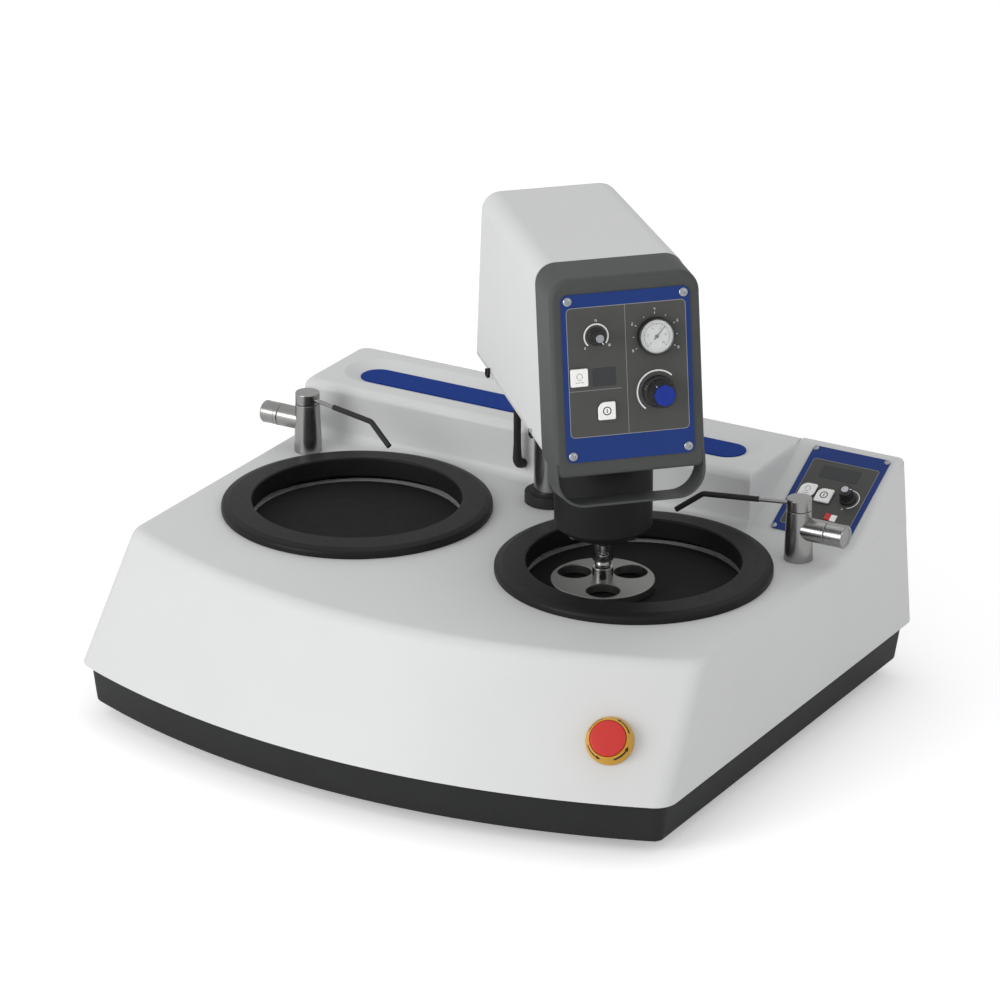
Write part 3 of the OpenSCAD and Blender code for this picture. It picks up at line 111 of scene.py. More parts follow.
class HeadSettings(bpy.types.PropertyGroup):
    """Sizes of the swinging head."""

    turn: angle("Turn", "Angle of the head from straight forward", 45)
    column: length("Column", "Distance of the column behind the origin", 147)
    reach: length("Reach", "Distance of the front face's middle before the column", 324)
    middle: length("Middle", "Height of the front face's middle", 478)
    tilt: angle("Tilt", "Backward tilt of the front face", 9.8)
    low: length("Low", "Height of the casing's lower edge", 380)
    top: length("Top", "Height of the casing's top", 587)
    half: length("Half width", "Half the width of the head", 86)
    spindle: length("Spindle", "Distance of the specimen spindle before the column", 228.68)
    depth: length("Depth", "Depth of the dark front", 60)


class FinishSettings(bpy.types.PropertyGroup):
    """Colours of the finishes."""

    paint: colour("Light paint", "Powder coat of the housing and the head", (0.66, 0.665, 0.665))
    dark: colour("Dark paint", "Powder coat of the tray", (0.02, 0.0205, 0.021))
    front: colour("Front paint", "Powder coat of the head's front", (0.07, 0.073, 0.072))
    panel: colour("Panel blue", "Blue of the printed panels", (0.012, 0.04, 0.2))
    ring: colour("Ring plastic", "Splash rings and bowls", (0.012, 0.012, 0.0125))
    blue: colour("Blue", "Blue of the liner", (0.004, 0.036, 0.24))
    field: colour("Panel grey", "Grey field of the panels", (0.08, 0.08, 0.077))
    white: colour("White", "Buttons and printed lines", (0.95, 0.95, 0.94))
    red: colour("Red", "Stop button", (0.56, 0.024, 0.018))
    yellow: colour("Yellow", "Collar of the stop button", (0.62, 0.32, 0.012))


class StudioSettings(bpy.types.PropertyGroup):
    """Camera and light."""

    lens: FloatProperty(name="Lens", description="Focal length", default=184.55, unit="CAMERA")
    key: FloatProperty(name="Key light", description="Power of the front light", default=70.0, unit="POWER")
    fill: FloatProperty(name="Fill light", description="Power of the side light", default=8.0, unit="POWER")
    sky: FloatProperty(name="Sky", description="Strength of the even light", default=0.69)
    sides: IntProperty(name="Sides", description="Facets round a turned piece", default=128, min=24)


class PolisherSettings(bpy.types.PropertyGroup):
    """All settings of the dresser."""

    housing: PointerProperty(type=HousingSettings)
    disc: PointerProperty(type=DiscSettings)
    head: PointerProperty(type=HeadSettings)
    finish: PointerProperty(type=FinishSettings)
    studio: PointerProperty(type=StudioSettings)


def settings():
    """The scene's own settings."""
    return bpy.context.scene.polisher


def mm(value):
    """A length setting in millimetres."""
    return value / MM


# Shapes in the plane


def arc(centre, radius, start, end, count):
    """Points of a circle: centre plus radius times cosine and sine of equally spaced angles in degrees."""
    a = np.radians(np.linspace(start, end, count + 1))
    return np.array(centre, float) + radius * np.stack([np.cos(a), np.sin(a)], -1)


def circle(radius, count=96, centre=(0.0, 0.0)):
    """Points of a circle: centre + r (cos a, sin a)."""
    return arc(centre, radius, 0, 360, count)[:-1]


def soften(points, radii, count=5, closed=False):
    """Rounds corners: each corner becomes an arc tangent to both of its legs, found by turning one
    radius vector into the other along the great circle between them. Works in two or three axes."""
    p = np.asarray(points, float)
    out = []
    for i, radius in enumerate(radii):
        edge = not closed and i in (0, len(p) - 1)
        if edge or radius <= 0:
            out.append(p[i : i + 1])
            continue
        to_last, to_next = p[i - 1] - p[i], p[(i + 1) % len(p)] - p[i]
        to_last, to_next = to_last / np.linalg.norm(to_last), to_next / np.linalg.norm(to_next)
        between = math.acos(float(np.clip(to_last @ to_next, -1, 1)))
        if between > math.pi - 0.01:
            out.append(p[i : i + 1])
            continue
        middle = to_last + to_next
        centre = p[i] + middle / np.linalg.norm(middle) * radius / math.sin(between / 2)
        leg = radius / math.tan(between / 2)
        a, b = p[i] + to_last * leg - centre, p[i] + to_next * leg - centre
        turn = math.pi - between
        s = np.linspace(0, 1, count + 1)[:, None]
        out.append(centre + (np.sin((1 - s) * turn) * a + np.sin(s * turn) * b) / math.sin(turn))
    return np.concatenate(out)


def rectangle(x0, y0, x1, y1, radii=(0, 0, 0, 0), count=5):
    """Rounded rectangle, anticlockwise from its lower left corner."""
    return soften([(x0, y0), (x1, y0), (x1, y1), (x0, y1)], radii, count, closed=True)


def stadium(x0, x1, y, radius, count=24):
    """Two half circles joined by straight sides, anticlockwise."""
    return np.concatenate([arc((x1, y), radius, -90, 90, count), arc((x0, y), radius, 90, 270, count)])


# Places


class Place:
    """A local frame in millimetres: a point p goes to origin + p.x * X + p.y * Y + p.z * Z."""

    def __init__(self, origin=(0, 0, 0), x=(1, 0, 0), y=(0, 1, 0)):
        self.origin = np.array(origin, float)
        x, y = np.array(x, float), np.array(y, float)
        self.axes = np.array([x, y, np.cross(x, y)])

    def out(self, points):
        return np.asarray(points, float) @ self.axes + self.origin

    def on(self, origin, x=(1, 0, 0), y=(0, 1, 0)):
        """A place given in this one's own axes."""
        return Place(self.out(origin), np.array(x, float) @ self.axes, np.array(y, float) @ self.axes)

    def turned(self, degrees):
        """This place turned about its own Z."""
        c, s = math.cos(math.radians(degrees)), math.sin(math.radians(degrees))
        return self.on((0, 0, 0), (c, s, 0), (-s, c, 0))


def head_place():
    """Frame of the head, turned about the column."""
    s = settings().head
    c, n = math.cos(s.turn), math.sin(s.turn)
    return Place((0, mm(s.column), 0), (c, n, 0), (-n, c, 0))


def face_place():
    """X across the head's front, Y up along it, Z out of it."""
    s = settings().head
    c, n = math.sin(s.tilt), math.cos(s.tilt)
    return head_place().on((0, -mm(s.reach), mm(s.middle)), (1, 0, 0), (0, c, n))


def mover_place():
    """Frame of the spindle on the head's front."""
    return head_place().on((0, -mm(settings().head.spindle), 0))


def disc_place(side):
    """Frame of a disc's axis."""
    s = settings().disc
    return Place((side * mm(s.pitch), mm(s.row), 0))


def tap_place(side):
    """X points away from the machine's middle."""
    return Place((side * 333, 138, mm(settings().housing.deck)), (side, 0, 0), (0, side, 0))


def console_place():
    """Frame of the console's panel."""
    slope = math.atan2(68, 116)
    return Place((314, 256, 234), (1, 0, 0), (0, math.cos(slope), math.sin(slope)))


def stop_place():
    """Z stands square on the raked front wall at the stop button."""
    normal = np.array([0.275723, -0.780769, 0.560693])
    across = np.cross((0, 0, 1), normal)
    across /= np.linalg.norm(across)
    return Place((310, -260.26, 123), across, np.cross(normal, across))


# Building meshes


class Form:
    """Collects grids and caps, in millimetres, and makes them one mesh."""

    def __init__(self):
        self.points, self.faces, self.count = [], [], 0

    def add(self, points, place):
        start = self.count
        flat = np.asarray(points, float).reshape(-1, 3)
        self.points.append(place.out(flat) if place else flat)
        self.count += len(flat)
        return start

    def grid(self, points, place=None, loop=False, ring=True, ends=(False, False)):
        """Quads between neighbours of a rows x columns x 3 array. ring joins the last column to the first,
        loop the last row to the first, and ends close the first and the last row with one face each."""
        rows, columns = points.shape[:2]
        index = np.arange(rows * columns).reshape(rows, columns) + self.add(points, place)
        first, last = index[0], index[-1]
        if ring:
            index = np.hstack([index, index[:, :1]])
        if loop:
            index = np.vstack([index, index[:1]])
        quads = np.stack([index[:-1, :-1], index[:-1, 1:], index[1:, 1:], index[1:, :-1]], -1)
        self.faces += quads.reshape(-1, 4).tolist()
        if ends[0]:
            self.faces.append(first[::-1].tolist())
        if ends[1]:
            self.faces.append(last.tolist())

    def turned(self, profile, place=None, wave=None, sides=None, loop=False, ends=(False, False)):
        """Surface of revolution: radius times cosine and sine round Z, height unchanged. wave is a pair of
        functions of row and angle that scale the radius, for flutes and knurls."""
        p = np.asarray(profile, float)
        a = np.linspace(0, 2 * math.pi, (sides or settings().studio.sides) + 1)[:-1]
        r = p[:, :1] * np.ones(len(a))
        if wave is not None:
            r = r * wave(np.arange(len(p))[:, None], a[None, :])
        z = p[:, 1:] * np.ones(len(a))
        self.grid(np.stack([r * np.cos(a), r * np.sin(a), z], -1), place, loop, True, ends)

    def stack(self, outlines, heights, place=None, ends=(True, True)):
        """Loft through outlines with equal numbers of points, each at its own height."""
        rows = [np.column_stack([o, np.full(len(o), h)]) for o, h in zip(outlines, heights)]
        self.grid(np.array(rows), place, False, True, ends)

    def slab(self, outline, low, high, place=None, bevel=0.0):
        """A plate between two heights with its upper edge rounded: the outline moves in by
        bevel * (1 - cosine) while it rises by bevel * sine."""
        if bevel <= 0:
            return self.stack([outline, outline], [low, high], place)
        a = np.radians(np.linspace(0, 90, 5))
        outlines = [outline] + [shrunk(outline, bevel * (1 - math.cos(t))) for t in a]
        self.stack(outlines, [low] + [high - bevel + bevel * math.sin(t) for t in a], place)

    def sheet(self, outlines, height, place=None, down=False):
        """Flat face with holes: the first outline is the edge and the others are holes."""
        loops = [[Vector((x, y, 0)) for x, y in o] for o in outlines]
        flat = np.concatenate([np.asarray(o) for o in outlines])
        start = self.add(np.column_stack([flat, np.full(len(flat), height)]), place)
        for tri in tessellate_polygon(loops):
            a, b, c = (flat[k] for k in tri)
            up = (b[0] - a[0]) * (c[1] - a[1]) - (b[1] - a[1]) * (c[0] - a[0]) > 0
            self.faces.append([start + k for k in (tri if up != down else tri[::-1])])

    def ribbon(self, path, section, place=None, closed=False):
        """Carries a section along a path in the plane: every section point (s, n) goes to
        path + s * left normal, at height n."""
        p, q = np.asarray(path, float), np.asarray(section, float)
        if closed:
            step = np.roll(p, -1, 0) - np.roll(p, 1, 0)
        else:
            step = np.gradient(p, axis=0)
        step /= np.linalg.norm(step, axis=1)[:, None]
        left = np.stack([-step[:, 1], step[:, 0]], -1)
        xy = p[:, None] + left[:, None] * q[None, :, :1]
        z = np.broadcast_to(q[None, :, 1:], (len(p), len(q), 1))
        self.grid(np.concatenate([xy, z], -1), place, closed, True, (not closed, not closed))

    def line(self, path, width, low, high, place=None, closed=False):
        """A printed line: a ribbon with a flat rectangular section."""
        h = width / 2
        self.ribbon(path, [(h, low), (-h, low), (-h, high), (h, high)], place, closed)

    def tube(self, path, radii, place=None, sides=28, ends=(True, True), about=(0.62, 0.71, 0.33)):
        """Pipe: round each path point, radius times cosine along one normal plus sine along the other, where
        the normals are cross products of the tangent with a fixed direction."""
        p = np.asarray(path, float)
        t = np.gradient(p, axis=0)
        t /= np.linalg.norm(t, axis=1)[:, None]
        n = np.cross(np.broadcast_to(np.array(about), t.shape), t)
        n /= np.linalg.norm(n, axis=1)[:, None]
        b = np.cross(t, n)
        a = np.linspace(0, 2 * math.pi, sides + 1)[:-1]
        r = np.broadcast_to(np.asarray(radii, float), (len(p),))[:, None, None]
        ring = np.cos(a)[None, :, None] * n[:, None] + np.sin(a)[None, :, None] * b[:, None]
        self.grid(p[:, None] + r * ring, place, False, True, ends)

    def build(self, name, body, finish, slot, stands_for=(), sharp=33):
        mesh = bpy.data.meshes.new(name)
        mesh.from_pydata((np.concatenate(self.points) * MM).tolist(), [], self.faces)
        mesh.polygons.foreach_set("use_smooth", np.ones(len(mesh.polygons), bool))
        mesh.set_sharp_from_angle(angle=math.radians(sharp))
        mesh.update()
        piece = bpy.data.objects.new(name, mesh)
        bpy.context.scene.collection.objects.link(piece)
        even = piece.modifiers.new("Even shading", "WEIGHTED_NORMAL")
        even.keep_sharp = True
        mesh.materials.append(finish)
        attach(piece, body)
        if stands_for:
            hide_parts(*stands_for)
        return piece


def shrunk(outline, distance):
    """Moves an anticlockwise outline in along the mean of its neighbouring edges' normals."""
    p = np.asarray(outline, float)
    ahead, behind = np.roll(p, -1, 0) - p, p - np.roll(p, 1, 0)
    ahead /= np.linalg.norm(ahead, axis=1)[:, None] + 1e-12
    behind /= np.linalg.norm(behind, axis=1)[:, None] + 1e-12
    mean = ahead + behind
    mean /= np.linalg.norm(mean, axis=1)[:, None]
    cosine = np.clip((mean * ahead).sum(1), 0.5, 1)[:, None]
    return p + np.stack([-mean[:, 1], mean[:, 0]], -1) * distance / cosine


# Shader sockets


class Socket:
    """Wraps a shader socket, so that Python's operators on it add Math nodes."""

    def __init__(self, tree, socket):
        self.tree, self.socket = tree, socket

    def math(self, operation, *others):
        node = self.tree.nodes.new("ShaderNodeMath")
        node.operation = operation
        for slot, value in zip(node.inputs, (self, *others)):
            plug(self.tree, slot, value)
        return Socket(self.tree, node.outputs[0])

    def __add__(self, other):
        return self.math("ADD", other)

    def __sub__(self, other):
        return self.math("SUBTRACT", other)

    def __mul__(self, other):
        return self.math("MULTIPLY", other)

    def __truediv__(self, other):
        return self.math("DIVIDE", other)

    def __rsub__(self, other):
        return (self * -1.0) + other

    __radd__ = __add__
    __rmul__ = __mul__

    def between(self, low, high):
        """0 below low, 1 above high and a smooth step in between."""
        node = self.tree.nodes.new("ShaderNodeMapRange")
        node.interpolation_type = "SMOOTHSTEP"
        plug(self.tree, node.inputs["Value"], self)
        node.inputs["From Min"].default_value = low
        node.inputs["From Max"].default_value = high
        return Socket(self.tree, node.outputs["Result"])


def plug(tree, slot, value):
    """Links a socket or sets a plain value."""
    if isinstance(value, Socket):
        tree.links.new(value.socket, slot)
    elif isinstance(value, (tuple, list)) and len(value) == 3 and slot.type == "RGBA":
        slot.default_value = (*value, 1.0)
    else:
        slot.default_value = value


class Finish:
    """A Principled material whose pattern reads Object coordinates."""

    def __init__(self, name, colour=(0.5, 0.5, 0.5), roughness=0.5, metallic=0.0, coat=0.0, specular=0.5):
        self.material = bpy.data.materials.new(name)
        self.material.use_nodes = True
        self.tree = self.material.node_tree
        self.shader = self.tree.nodes["Principled BSDF"]
        self.base = tuple(colour)
        self.set("Base Color", self.base)
        self.set("Roughness", roughness)
        self.set("Metallic", metallic)
        self.set("Coat Weight", coat)
        self.set("Coat Roughness", 0.12)
        self.set("Specular IOR Level", specular)
        self.space = self.node("ShaderNodeTexCoord", out="Object")

    def set(self, name, value):
        plug(self.tree, self.shader.inputs[name], value)

    def node(self, kind, inputs=None, out=0, **options):
        node = self.tree.nodes.new(kind)
        for key, value in options.items():
            setattr(node, key, value)
        for key, value in (inputs or {}).items():
            plug(self.tree, node.inputs[key], value)
        return Socket(self.tree, node.outputs[out])

    def moved(self, place, stretch=(1, 1, 1)):
        """Object coordinates seen from a place, in millimetres."""
        turn = Matrix(place.axes.tolist())
        back = -(turn @ Vector(place.origin * MM))
        node = self.tree.nodes.new("ShaderNodeMapping")
        node.vector_type = "POINT"
        plug(self.tree, node.inputs["Vector"], self.space)
        node.inputs["Location"].default_value = [back[i] / MM * stretch[i] for i in range(3)]
        node.inputs["Rotation"].default_value = turn.to_euler()
        node.inputs["Scale"].default_value = [1 / MM] * 3
        socket = Socket(self.tree, node.outputs[0])
        if stretch == (1, 1, 1):
            return socket
        node.inputs["Location"].default_value = [back[i] / MM for i in range(3)]
        return self.node("ShaderNodeVectorMath", {0: socket, 1: stretch}, operation="MULTIPLY")

    def noise(self, scale, detail=2.0, space=None, rough=0.5, warp=0.0):
        return self.node(
            "ShaderNodeTexNoise",
            {"Vector": space or self.space, "Scale": scale, "Detail": detail, "Roughness": rough,
                "Distortion": warp},
            out="Fac",
        )

    def mix(self, amount, first, second):
        node = self.tree.nodes.new("ShaderNodeMix")
        node.data_type = "RGBA"
        plug(self.tree, node.inputs[0], amount)
        plug(self.tree, node.inputs[6], first)
        plug(self.tree, node.inputs[7], second)
        return Socket(self.tree, node.outputs[2])

    def bump(self, height, strength=0.3, depth=0.1):
        """Relief from a height between 0 and 1, depth in millimetres."""
        node = self.node("ShaderNodeBump", {"Height": height, "Strength": strength, "Distance": depth * MM},
            out=0)
        self.set("Normal", node)

    def tint(self, amount, darker=0.9, lighter=1.0):
        """Base colour that wanders between a darker and a lighter shade."""
        return self.mix(amount, [c * darker for c in self.base], [min(c * lighter, 1.0) for c in self.base])


FINISHES = {}


def finish(name):
    """Makes each finish once and hands it out by name."""
    if name not in FINISHES:
        FINISHES[name] = MAKERS[name]().material
    return FINISHES[name]


def make_light_paint():
    """Powder coat: orange-peel relief over a finer grain, with a faint wander of tone."""
    f = Finish("light_paint", settings().finish.paint, 0.42, specular=0.4)
    peel, grain = f.noise(900, 2), f.noise(2600, 3)
    f.set("Base Color", f.tint(f.noise(9, 3), 0.965, 1.02))
    f.set("Roughness", f.noise(420, 2) * 0.12 + 0.4)
    f.bump(peel * 0.65 + grain * 0.35, 0.1, 0.06)
    return f


def make_dark_paint():
    """Dark structured powder coat with coarse fine-grained relief."""
    f = Finish("dark_paint", settings().finish.dark, 0.5, specular=0.22)
    cells = f.node("ShaderNodeTexVoronoi", {"Vector": f.space, "Scale": 1400.0}, out="Distance")
    f.set("Base Color", f.tint(f.noise(30, 3), 0.86, 1.14))
    f.set("Roughness", f.noise(700, 2) * 0.16 + 0.42)
    f.bump(cells * 0.6 + f.noise(2400, 2) * 0.4, 0.22, 0.09)
    return f


def make_front_paint():
    """The dark coat's relief in the lighter grey of the head's front."""
    f = make_dark_paint()
    f.material.name, f.base = "front_paint", tuple(settings().finish.front)
    f.set("Base Color", f.tint(f.noise(30, 3), 0.94, 1.06))
    return f


def make_ring_plastic():
    """Moulded dark plastic with a fine sparked grain and a random wander of tone and roughness."""
    f = Finish("ring_plastic", settings().finish.ring, 0.42, specular=0.16)
    f.set("Base Color", f.tint(f.noise(26, 3), 0.8, 1.25))
    f.set("Roughness", f.noise(300, 3) * 0.18 + 0.36)
    f.bump(f.noise(2200, 3), 0.16, 0.05)
    return f


def make_abrasive():
    """Abrasive disc: tightly packed grains with light sparkle and a random wander of roughness."""
    f = Finish("abrasive", (0.018, 0.018, 0.018), 0.8, specular=0.1)
    grains = f.node("ShaderNodeTexVoronoi", {"Vector": f.space, "Scale": 2600.0}, out="Distance")
    f.set("Base Color", f.mix(grains.between(0.1, 0.5), (0.007, 0.007, 0.007), (0.02, 0.02, 0.0205)))
    f.set("Roughness", f.noise(60, 4) * 0.2 + 0.62)
    f.bump(grains, 0.5, 0.12)
    return f


def rings_about(f, place, pitch):
    """0 to 1 wave of the distance from a place's Z axis: the fine spiral that a lathe tool leaves."""
    p = f.moved(place)
    flat = f.node("ShaderNodeVectorMath", {0: p, 1: (1, 1, 0)}, operation="MULTIPLY")
    radius = f.node("ShaderNodeVectorMath", {0: flat}, out="Value", operation="LENGTH")
    return (radius * (2 * math.pi / pitch)).math("SINE") * 0.5 + 0.5, radius


def metal(name, place, colour, roughness, pitch, strength, metallic=1.0):
    """Turned metal: fine rings about an axis over streaks of tone."""
    f = Finish(name, colour, roughness, metallic=metallic)
    wave, radius = rings_about(f, place, pitch)
    streak = f.node(
        "ShaderNodeTexNoise", {"W": radius * 1.7, "Scale": 1.0, "Detail": 3.0}, out="Fac", noise_dimensions="1D"
    )
    f.set("Base Color", f.tint(streak, 0.86, 1.06))
    f.set("Roughness", streak * 0.16 + (roughness - 0.06))
    f.bump(wave * 0.5 + streak * 0.5, strength, 0.03)
    return f


def make_platen_left():
    """The platen left finish."""
    return metal("platen_left", disc_place(-1), (0.85, 0.855, 0.86), 0.5, 0.6, 0.25, 0.35)


def make_platen_right():
    """The platen right finish."""
    return metal("platen_right", disc_place(1), (0.85, 0.855, 0.86), 0.5, 0.6, 0.25, 0.35)


def make_holder_steel():
    """The holder steel finish."""
    return metal("holder_steel", mover_place(), (0.3, 0.3, 0.29), 0.36, 0.5, 0.12)


def make_polished():
    """Plated steel with hardly visible drawing marks along its length."""
    f = Finish("polished", (0.36, 0.36, 0.355), 0.24, metallic=1.0)
    drawn = f.noise(30, 3, f.moved(Place(), (0.9, 0.9, 0.02)))
    f.set("Base Color", f.tint(drawn, 0.86, 1.08))
    f.set("Roughness", drawn * 0.1 + 0.19)
    f.bump(drawn, 0.06, 0.02)
    return f


def make_steel():
    """Ground steel with short random scratches."""
    f = Finish("steel", (0.5, 0.5, 0.51), 0.3, metallic=1.0)
    scratch = f.noise(60, 4, f.moved(Place(), (1.0, 0.06, 1.0)), 0.6)
    f.set("Base Color", f.tint(scratch, 0.85, 1.05))
    f.set("Roughness", scratch * 0.2 + 0.24)
    f.bump(scratch, 0.12, 0.03)
    return f


def make_screw_steel():
    """The screw steel finish."""
    f = Finish("screw_steel", (0.42, 0.44, 0.47), 0.32, metallic=1.0)
    f.set("Roughness", f.noise(500, 2) * 0.15 + 0.26)
    f.set("Base Color", f.tint(f.noise(240, 2), 0.88, 1.08))
    return f


def make_cast():
    """Painted casting: lumpy relief."""
    f = Finish("cast", (0.2, 0.21, 0.22), 0.6)
    lumps = f.noise(240, 4, None, 0.6)
    f.set("Base Color", f.tint(f.noise(20, 3), 0.85, 1.1))
    f.set("Roughness", lumps * 0.25 + 0.5)
    f.bump(lumps, 0.4, 0.4)
    return f


def make_rubber():
    """The rubber finish."""
    f = Finish("rubber", (0.014, 0.014, 0.014), 0.62, specular=0.35)
    f.set("Base Color", f.tint(f.noise(60, 3), 0.8, 1.4))
    f.set("Roughness", f.noise(500, 2) * 0.2 + 0.48)
    f.bump(f.noise(1600, 3), 0.15, 0.05)
    return f


def make_black_plastic():
    """The black plastic finish."""
    f = Finish("black_plastic", (0.011, 0.011, 0.012), 0.34, specular=0.5)
    f.set("Base Color", f.tint(f.noise(80, 3), 0.85, 1.3))
    f.set("Roughness", f.noise(260, 3) * 0.16 + 0.26)
    f.bump(f.noise(1800, 2), 0.08, 0.03)
    return f


def plain_film(name, colour, roughness=0.4):
    """Printed polyester film: hard matt coat over an even colour with a fine screen grain."""
    f = Finish(name, colour, roughness, specular=0.2)
    f.set("Base Color", f.tint(f.noise(40, 2), 0.94, 1.06))
    f.set("Roughness", f.noise(900, 2) * 0.1 + (roughness - 0.05))
    f.bump(f.noise(1500, 2), 0.06, 0.02)
    return f


def make_blue_film():
    """The blue film finish."""
    return plain_film("blue_film", settings().finish.panel)


def make_grey_film():
    """The grey film finish."""
    return plain_film("grey_film", settings().finish.field, 0.45)


def make_display():
    """The display finish."""
    return plain_film("display", (0.05, 0.052, 0.054), 0.3)


def make_white_print():
    """The white print finish."""
    return plain_film("white_print", (0.9, 0.9, 0.89), 0.5)


def make_grey_print():
    """The grey print finish."""
    return plain_film("grey_print", (0.3, 0.3, 0.3), 0.5)


def make_ink():
    """The ink finish."""
    return plain_film("ink", (0.012, 0.012, 0.013), 0.5)


def make_blue_cap():
    """The blue cap finish."""
    return plain_film("blue_cap", (0.012, 0.035, 0.3), 0.3)


def make_dial():
    """The dial finish."""
    return plain_film("dial", (0.7, 0.71, 0.7), 0.4)


def make_liner():
    """Blue soft mat with a leather-like grain."""
    f = Finish("liner", settings().finish.blue, 0.55, specular=0.06)
    cells = f.node("ShaderNodeTexVoronoi", {"Vector": f.space, "Scale": 900.0}, out="Distance")
    f.set("Base Color", f.tint(f.noise(18, 3), 0.9, 1.08))
    f.set("Roughness", f.noise(300, 2) * 0.15 + 0.48)
    f.bump(cells, 0.2, 0.1)
    return f


def moulded(name, colour, roughness, coat=0.0):
    """Glossy moulded plastic with a trace of flow in its tone and a fine surface."""
    f = Finish(name, colour, roughness, coat=coat)
    f.set("Base Color", f.tint(f.noise(50, 3, None, 0.5, 0.6), 0.93, 1.04))
    f.set("Roughness", f.noise(300, 2) * 0.1 + (roughness - 0.05))
    f.bump(f.noise(1200, 2), 0.05, 0.03)
    return f


def make_white_plastic():
    """The white plastic finish."""
    return moulded("white_plastic", settings().finish.white, 0.35)


def make_red_plastic():
    """The red plastic finish."""
    return moulded("red_plastic", settings().finish.red, 0.38)


def make_yellow_plastic():
    """The yellow plastic finish."""
    return moulded("yellow_plastic", settings().finish.yellow, 0.4)


def make_brass():
    """The brass finish."""
    f = Finish("brass", (0.6, 0.44, 0.2), 0.3, metallic=1.0)
    f.set("Base Color", f.tint(f.noise(70, 4), 0.75, 1.05))
    f.set("Roughness", f.noise(200, 3) * 0.25 + 0.2)
    f.bump(f.noise(900, 2), 0.1, 0.03)
    return f


def make_lens():
    """Gauge glass: a thin clear sheet, mostly see-through and glossy."""
    f = Finish("lens", (0.95, 0.97, 1.0), 0.04, specular=0.6)
    f.set("Alpha", f.noise(30, 2) * 0.04 + 0.1)
    f.material.blend_method = "BLEND"
    return f


MAKERS = {
    "light_paint": make_light_paint,
    "dark_paint": make_dark_paint,
    "front_paint": make_front_paint,
    "ring_plastic": make_ring_plastic,
    "abrasive": make_abrasive,
    "platen_left": make_platen_left,
    "platen_right": make_platen_right,
    "holder_steel": make_holder_steel,
    "polished": make_polished,
    "steel": make_steel,
    "screw_steel": make_screw_steel,
    "cast": make_cast,
    "rubber": make_rubber,
    "black_plastic": make_black_plastic,
    "blue_film": make_blue_film,
    "grey_film": make_grey_film,
    "display": make_display,
    "white_print": make_white_print,
    "grey_print": make_grey_print,
    "ink": make_ink,
    "blue_cap": make_blue_cap,
    "dial": make_dial,
    "liner": make_liner,
    "white_plastic": make_white_plastic,
    "red_plastic": make_red_plastic,
    "yellow_plastic": make_yellow_plastic,
    "brass": make_brass,
    "lens": make_lens,
}


# Outline of the housing


def half_width(z):
    """Half the housing's width at a height, from straight lines between its stated widths."""
    s = settings().housing
    if z <= mm(s.deck):
        u = (z - mm(s.rim)) / (mm(s.deck) - mm(s.rim))
        return (mm(s.width) * (1 - u) + mm(s.deck_width) * u) / 2
    u = (z - mm(s.deck)) / (mm(s.top) - mm(s.deck))
    return (mm(s.deck_width) * (1 - u) + mm(s.top_width) * u) / 2


def plan(z, inset=0.0, steps=10):
    """Outline at a height: an arc for the bowed front, a small arc tangent to it and to the side at each
    front corner, straight sides and two back corner arcs, all moved in by the inset."""
    s = settings().housing
    u = (z - mm(s.rim)) / (mm(s.deck) - mm(s.rim))
    bow = mm(s.rim_bow) * (1 - u) + mm(s.deck_bow) * u - inset
    apex = -mm(s.front) + mm(s.rake) * u + inset
    half, back = half_width(z) - inset, mm(s.back) - inset
    front_r = max(mm(s.front_corner) - inset, mm(s.front_corner) / 4)
    back_r = max(mm(s.back_corner) - inset, mm(s.back_corner) / 4)
    centre = apex + bow - math.sqrt((bow - front_r) ** 2 - (half - front_r) ** 2)
    turn = math.degrees(math.asin((half - front_r) / (bow - front_r)))
    return np.concatenate([
        arc((0, apex + bow), bow, -90 - turn, -90 + turn, 9 * steps),
        arc((half - front_r, centre), front_r, -90 + turn, 0, steps)[1:],
        arc((half - back_r, back - back_r), back_r, 0, 90, steps),
        arc((-half + back_r, back - back_r), back_r, 90, 180, steps),
        arc((-half + front_r, centre), front_r, 180, 270 - turn, steps)[:-1],
    ])


# Pieces


def build_housing():
    """Plan outlines at rising heights are joined into the walls and deck; upstand and console are added."""
    s = settings().housing
    rim, deck, top, edge = mm(s.rim), mm(s.deck), mm(s.top), mm(s.edge)
    form = Form()
    rows = [(rim, 24.0), (rim, 1.6), (rim + 0.4, 0.5), (rim + 1.8, 0.0)]
    rows += [(z, 0.0) for z in np.linspace(rim + 20, deck - edge, 6)]
    outlines = [plan(z, i) for z, i in rows]
    heights = [z for z, i in rows]
    below, corner, inner = plan(deck - edge), plan(deck), plan(deck, edge)
    for t in np.linspace(0, 1, 9)[1:]:
        outlines.append((1 - t) ** 2 * below + 2 * t * (1 - t) * corner + t * t * inner)
        heights.append((1 - t) ** 2 * (deck - edge) + 2 * t * (1 - t) * deck + t * t * deck)
    form.stack(outlines, heights, ends=(False, False))
    discs = settings().disc
    holes = [circle(152, 96, (side * mm(discs.pitch), mm(discs.row))) for side in (-1, 1)]
    form.sheet([outlines[-1]] + holes, deck)
    for hole in holes:
        form.stack([hole[::-1], hole[::-1]], [deck - 4, deck], ends=(False, False))
    build_upstand(form)
    build_console(form)
    form.build("housing", "base", finish("light_paint"), "housing_paint", ["body_shell"])


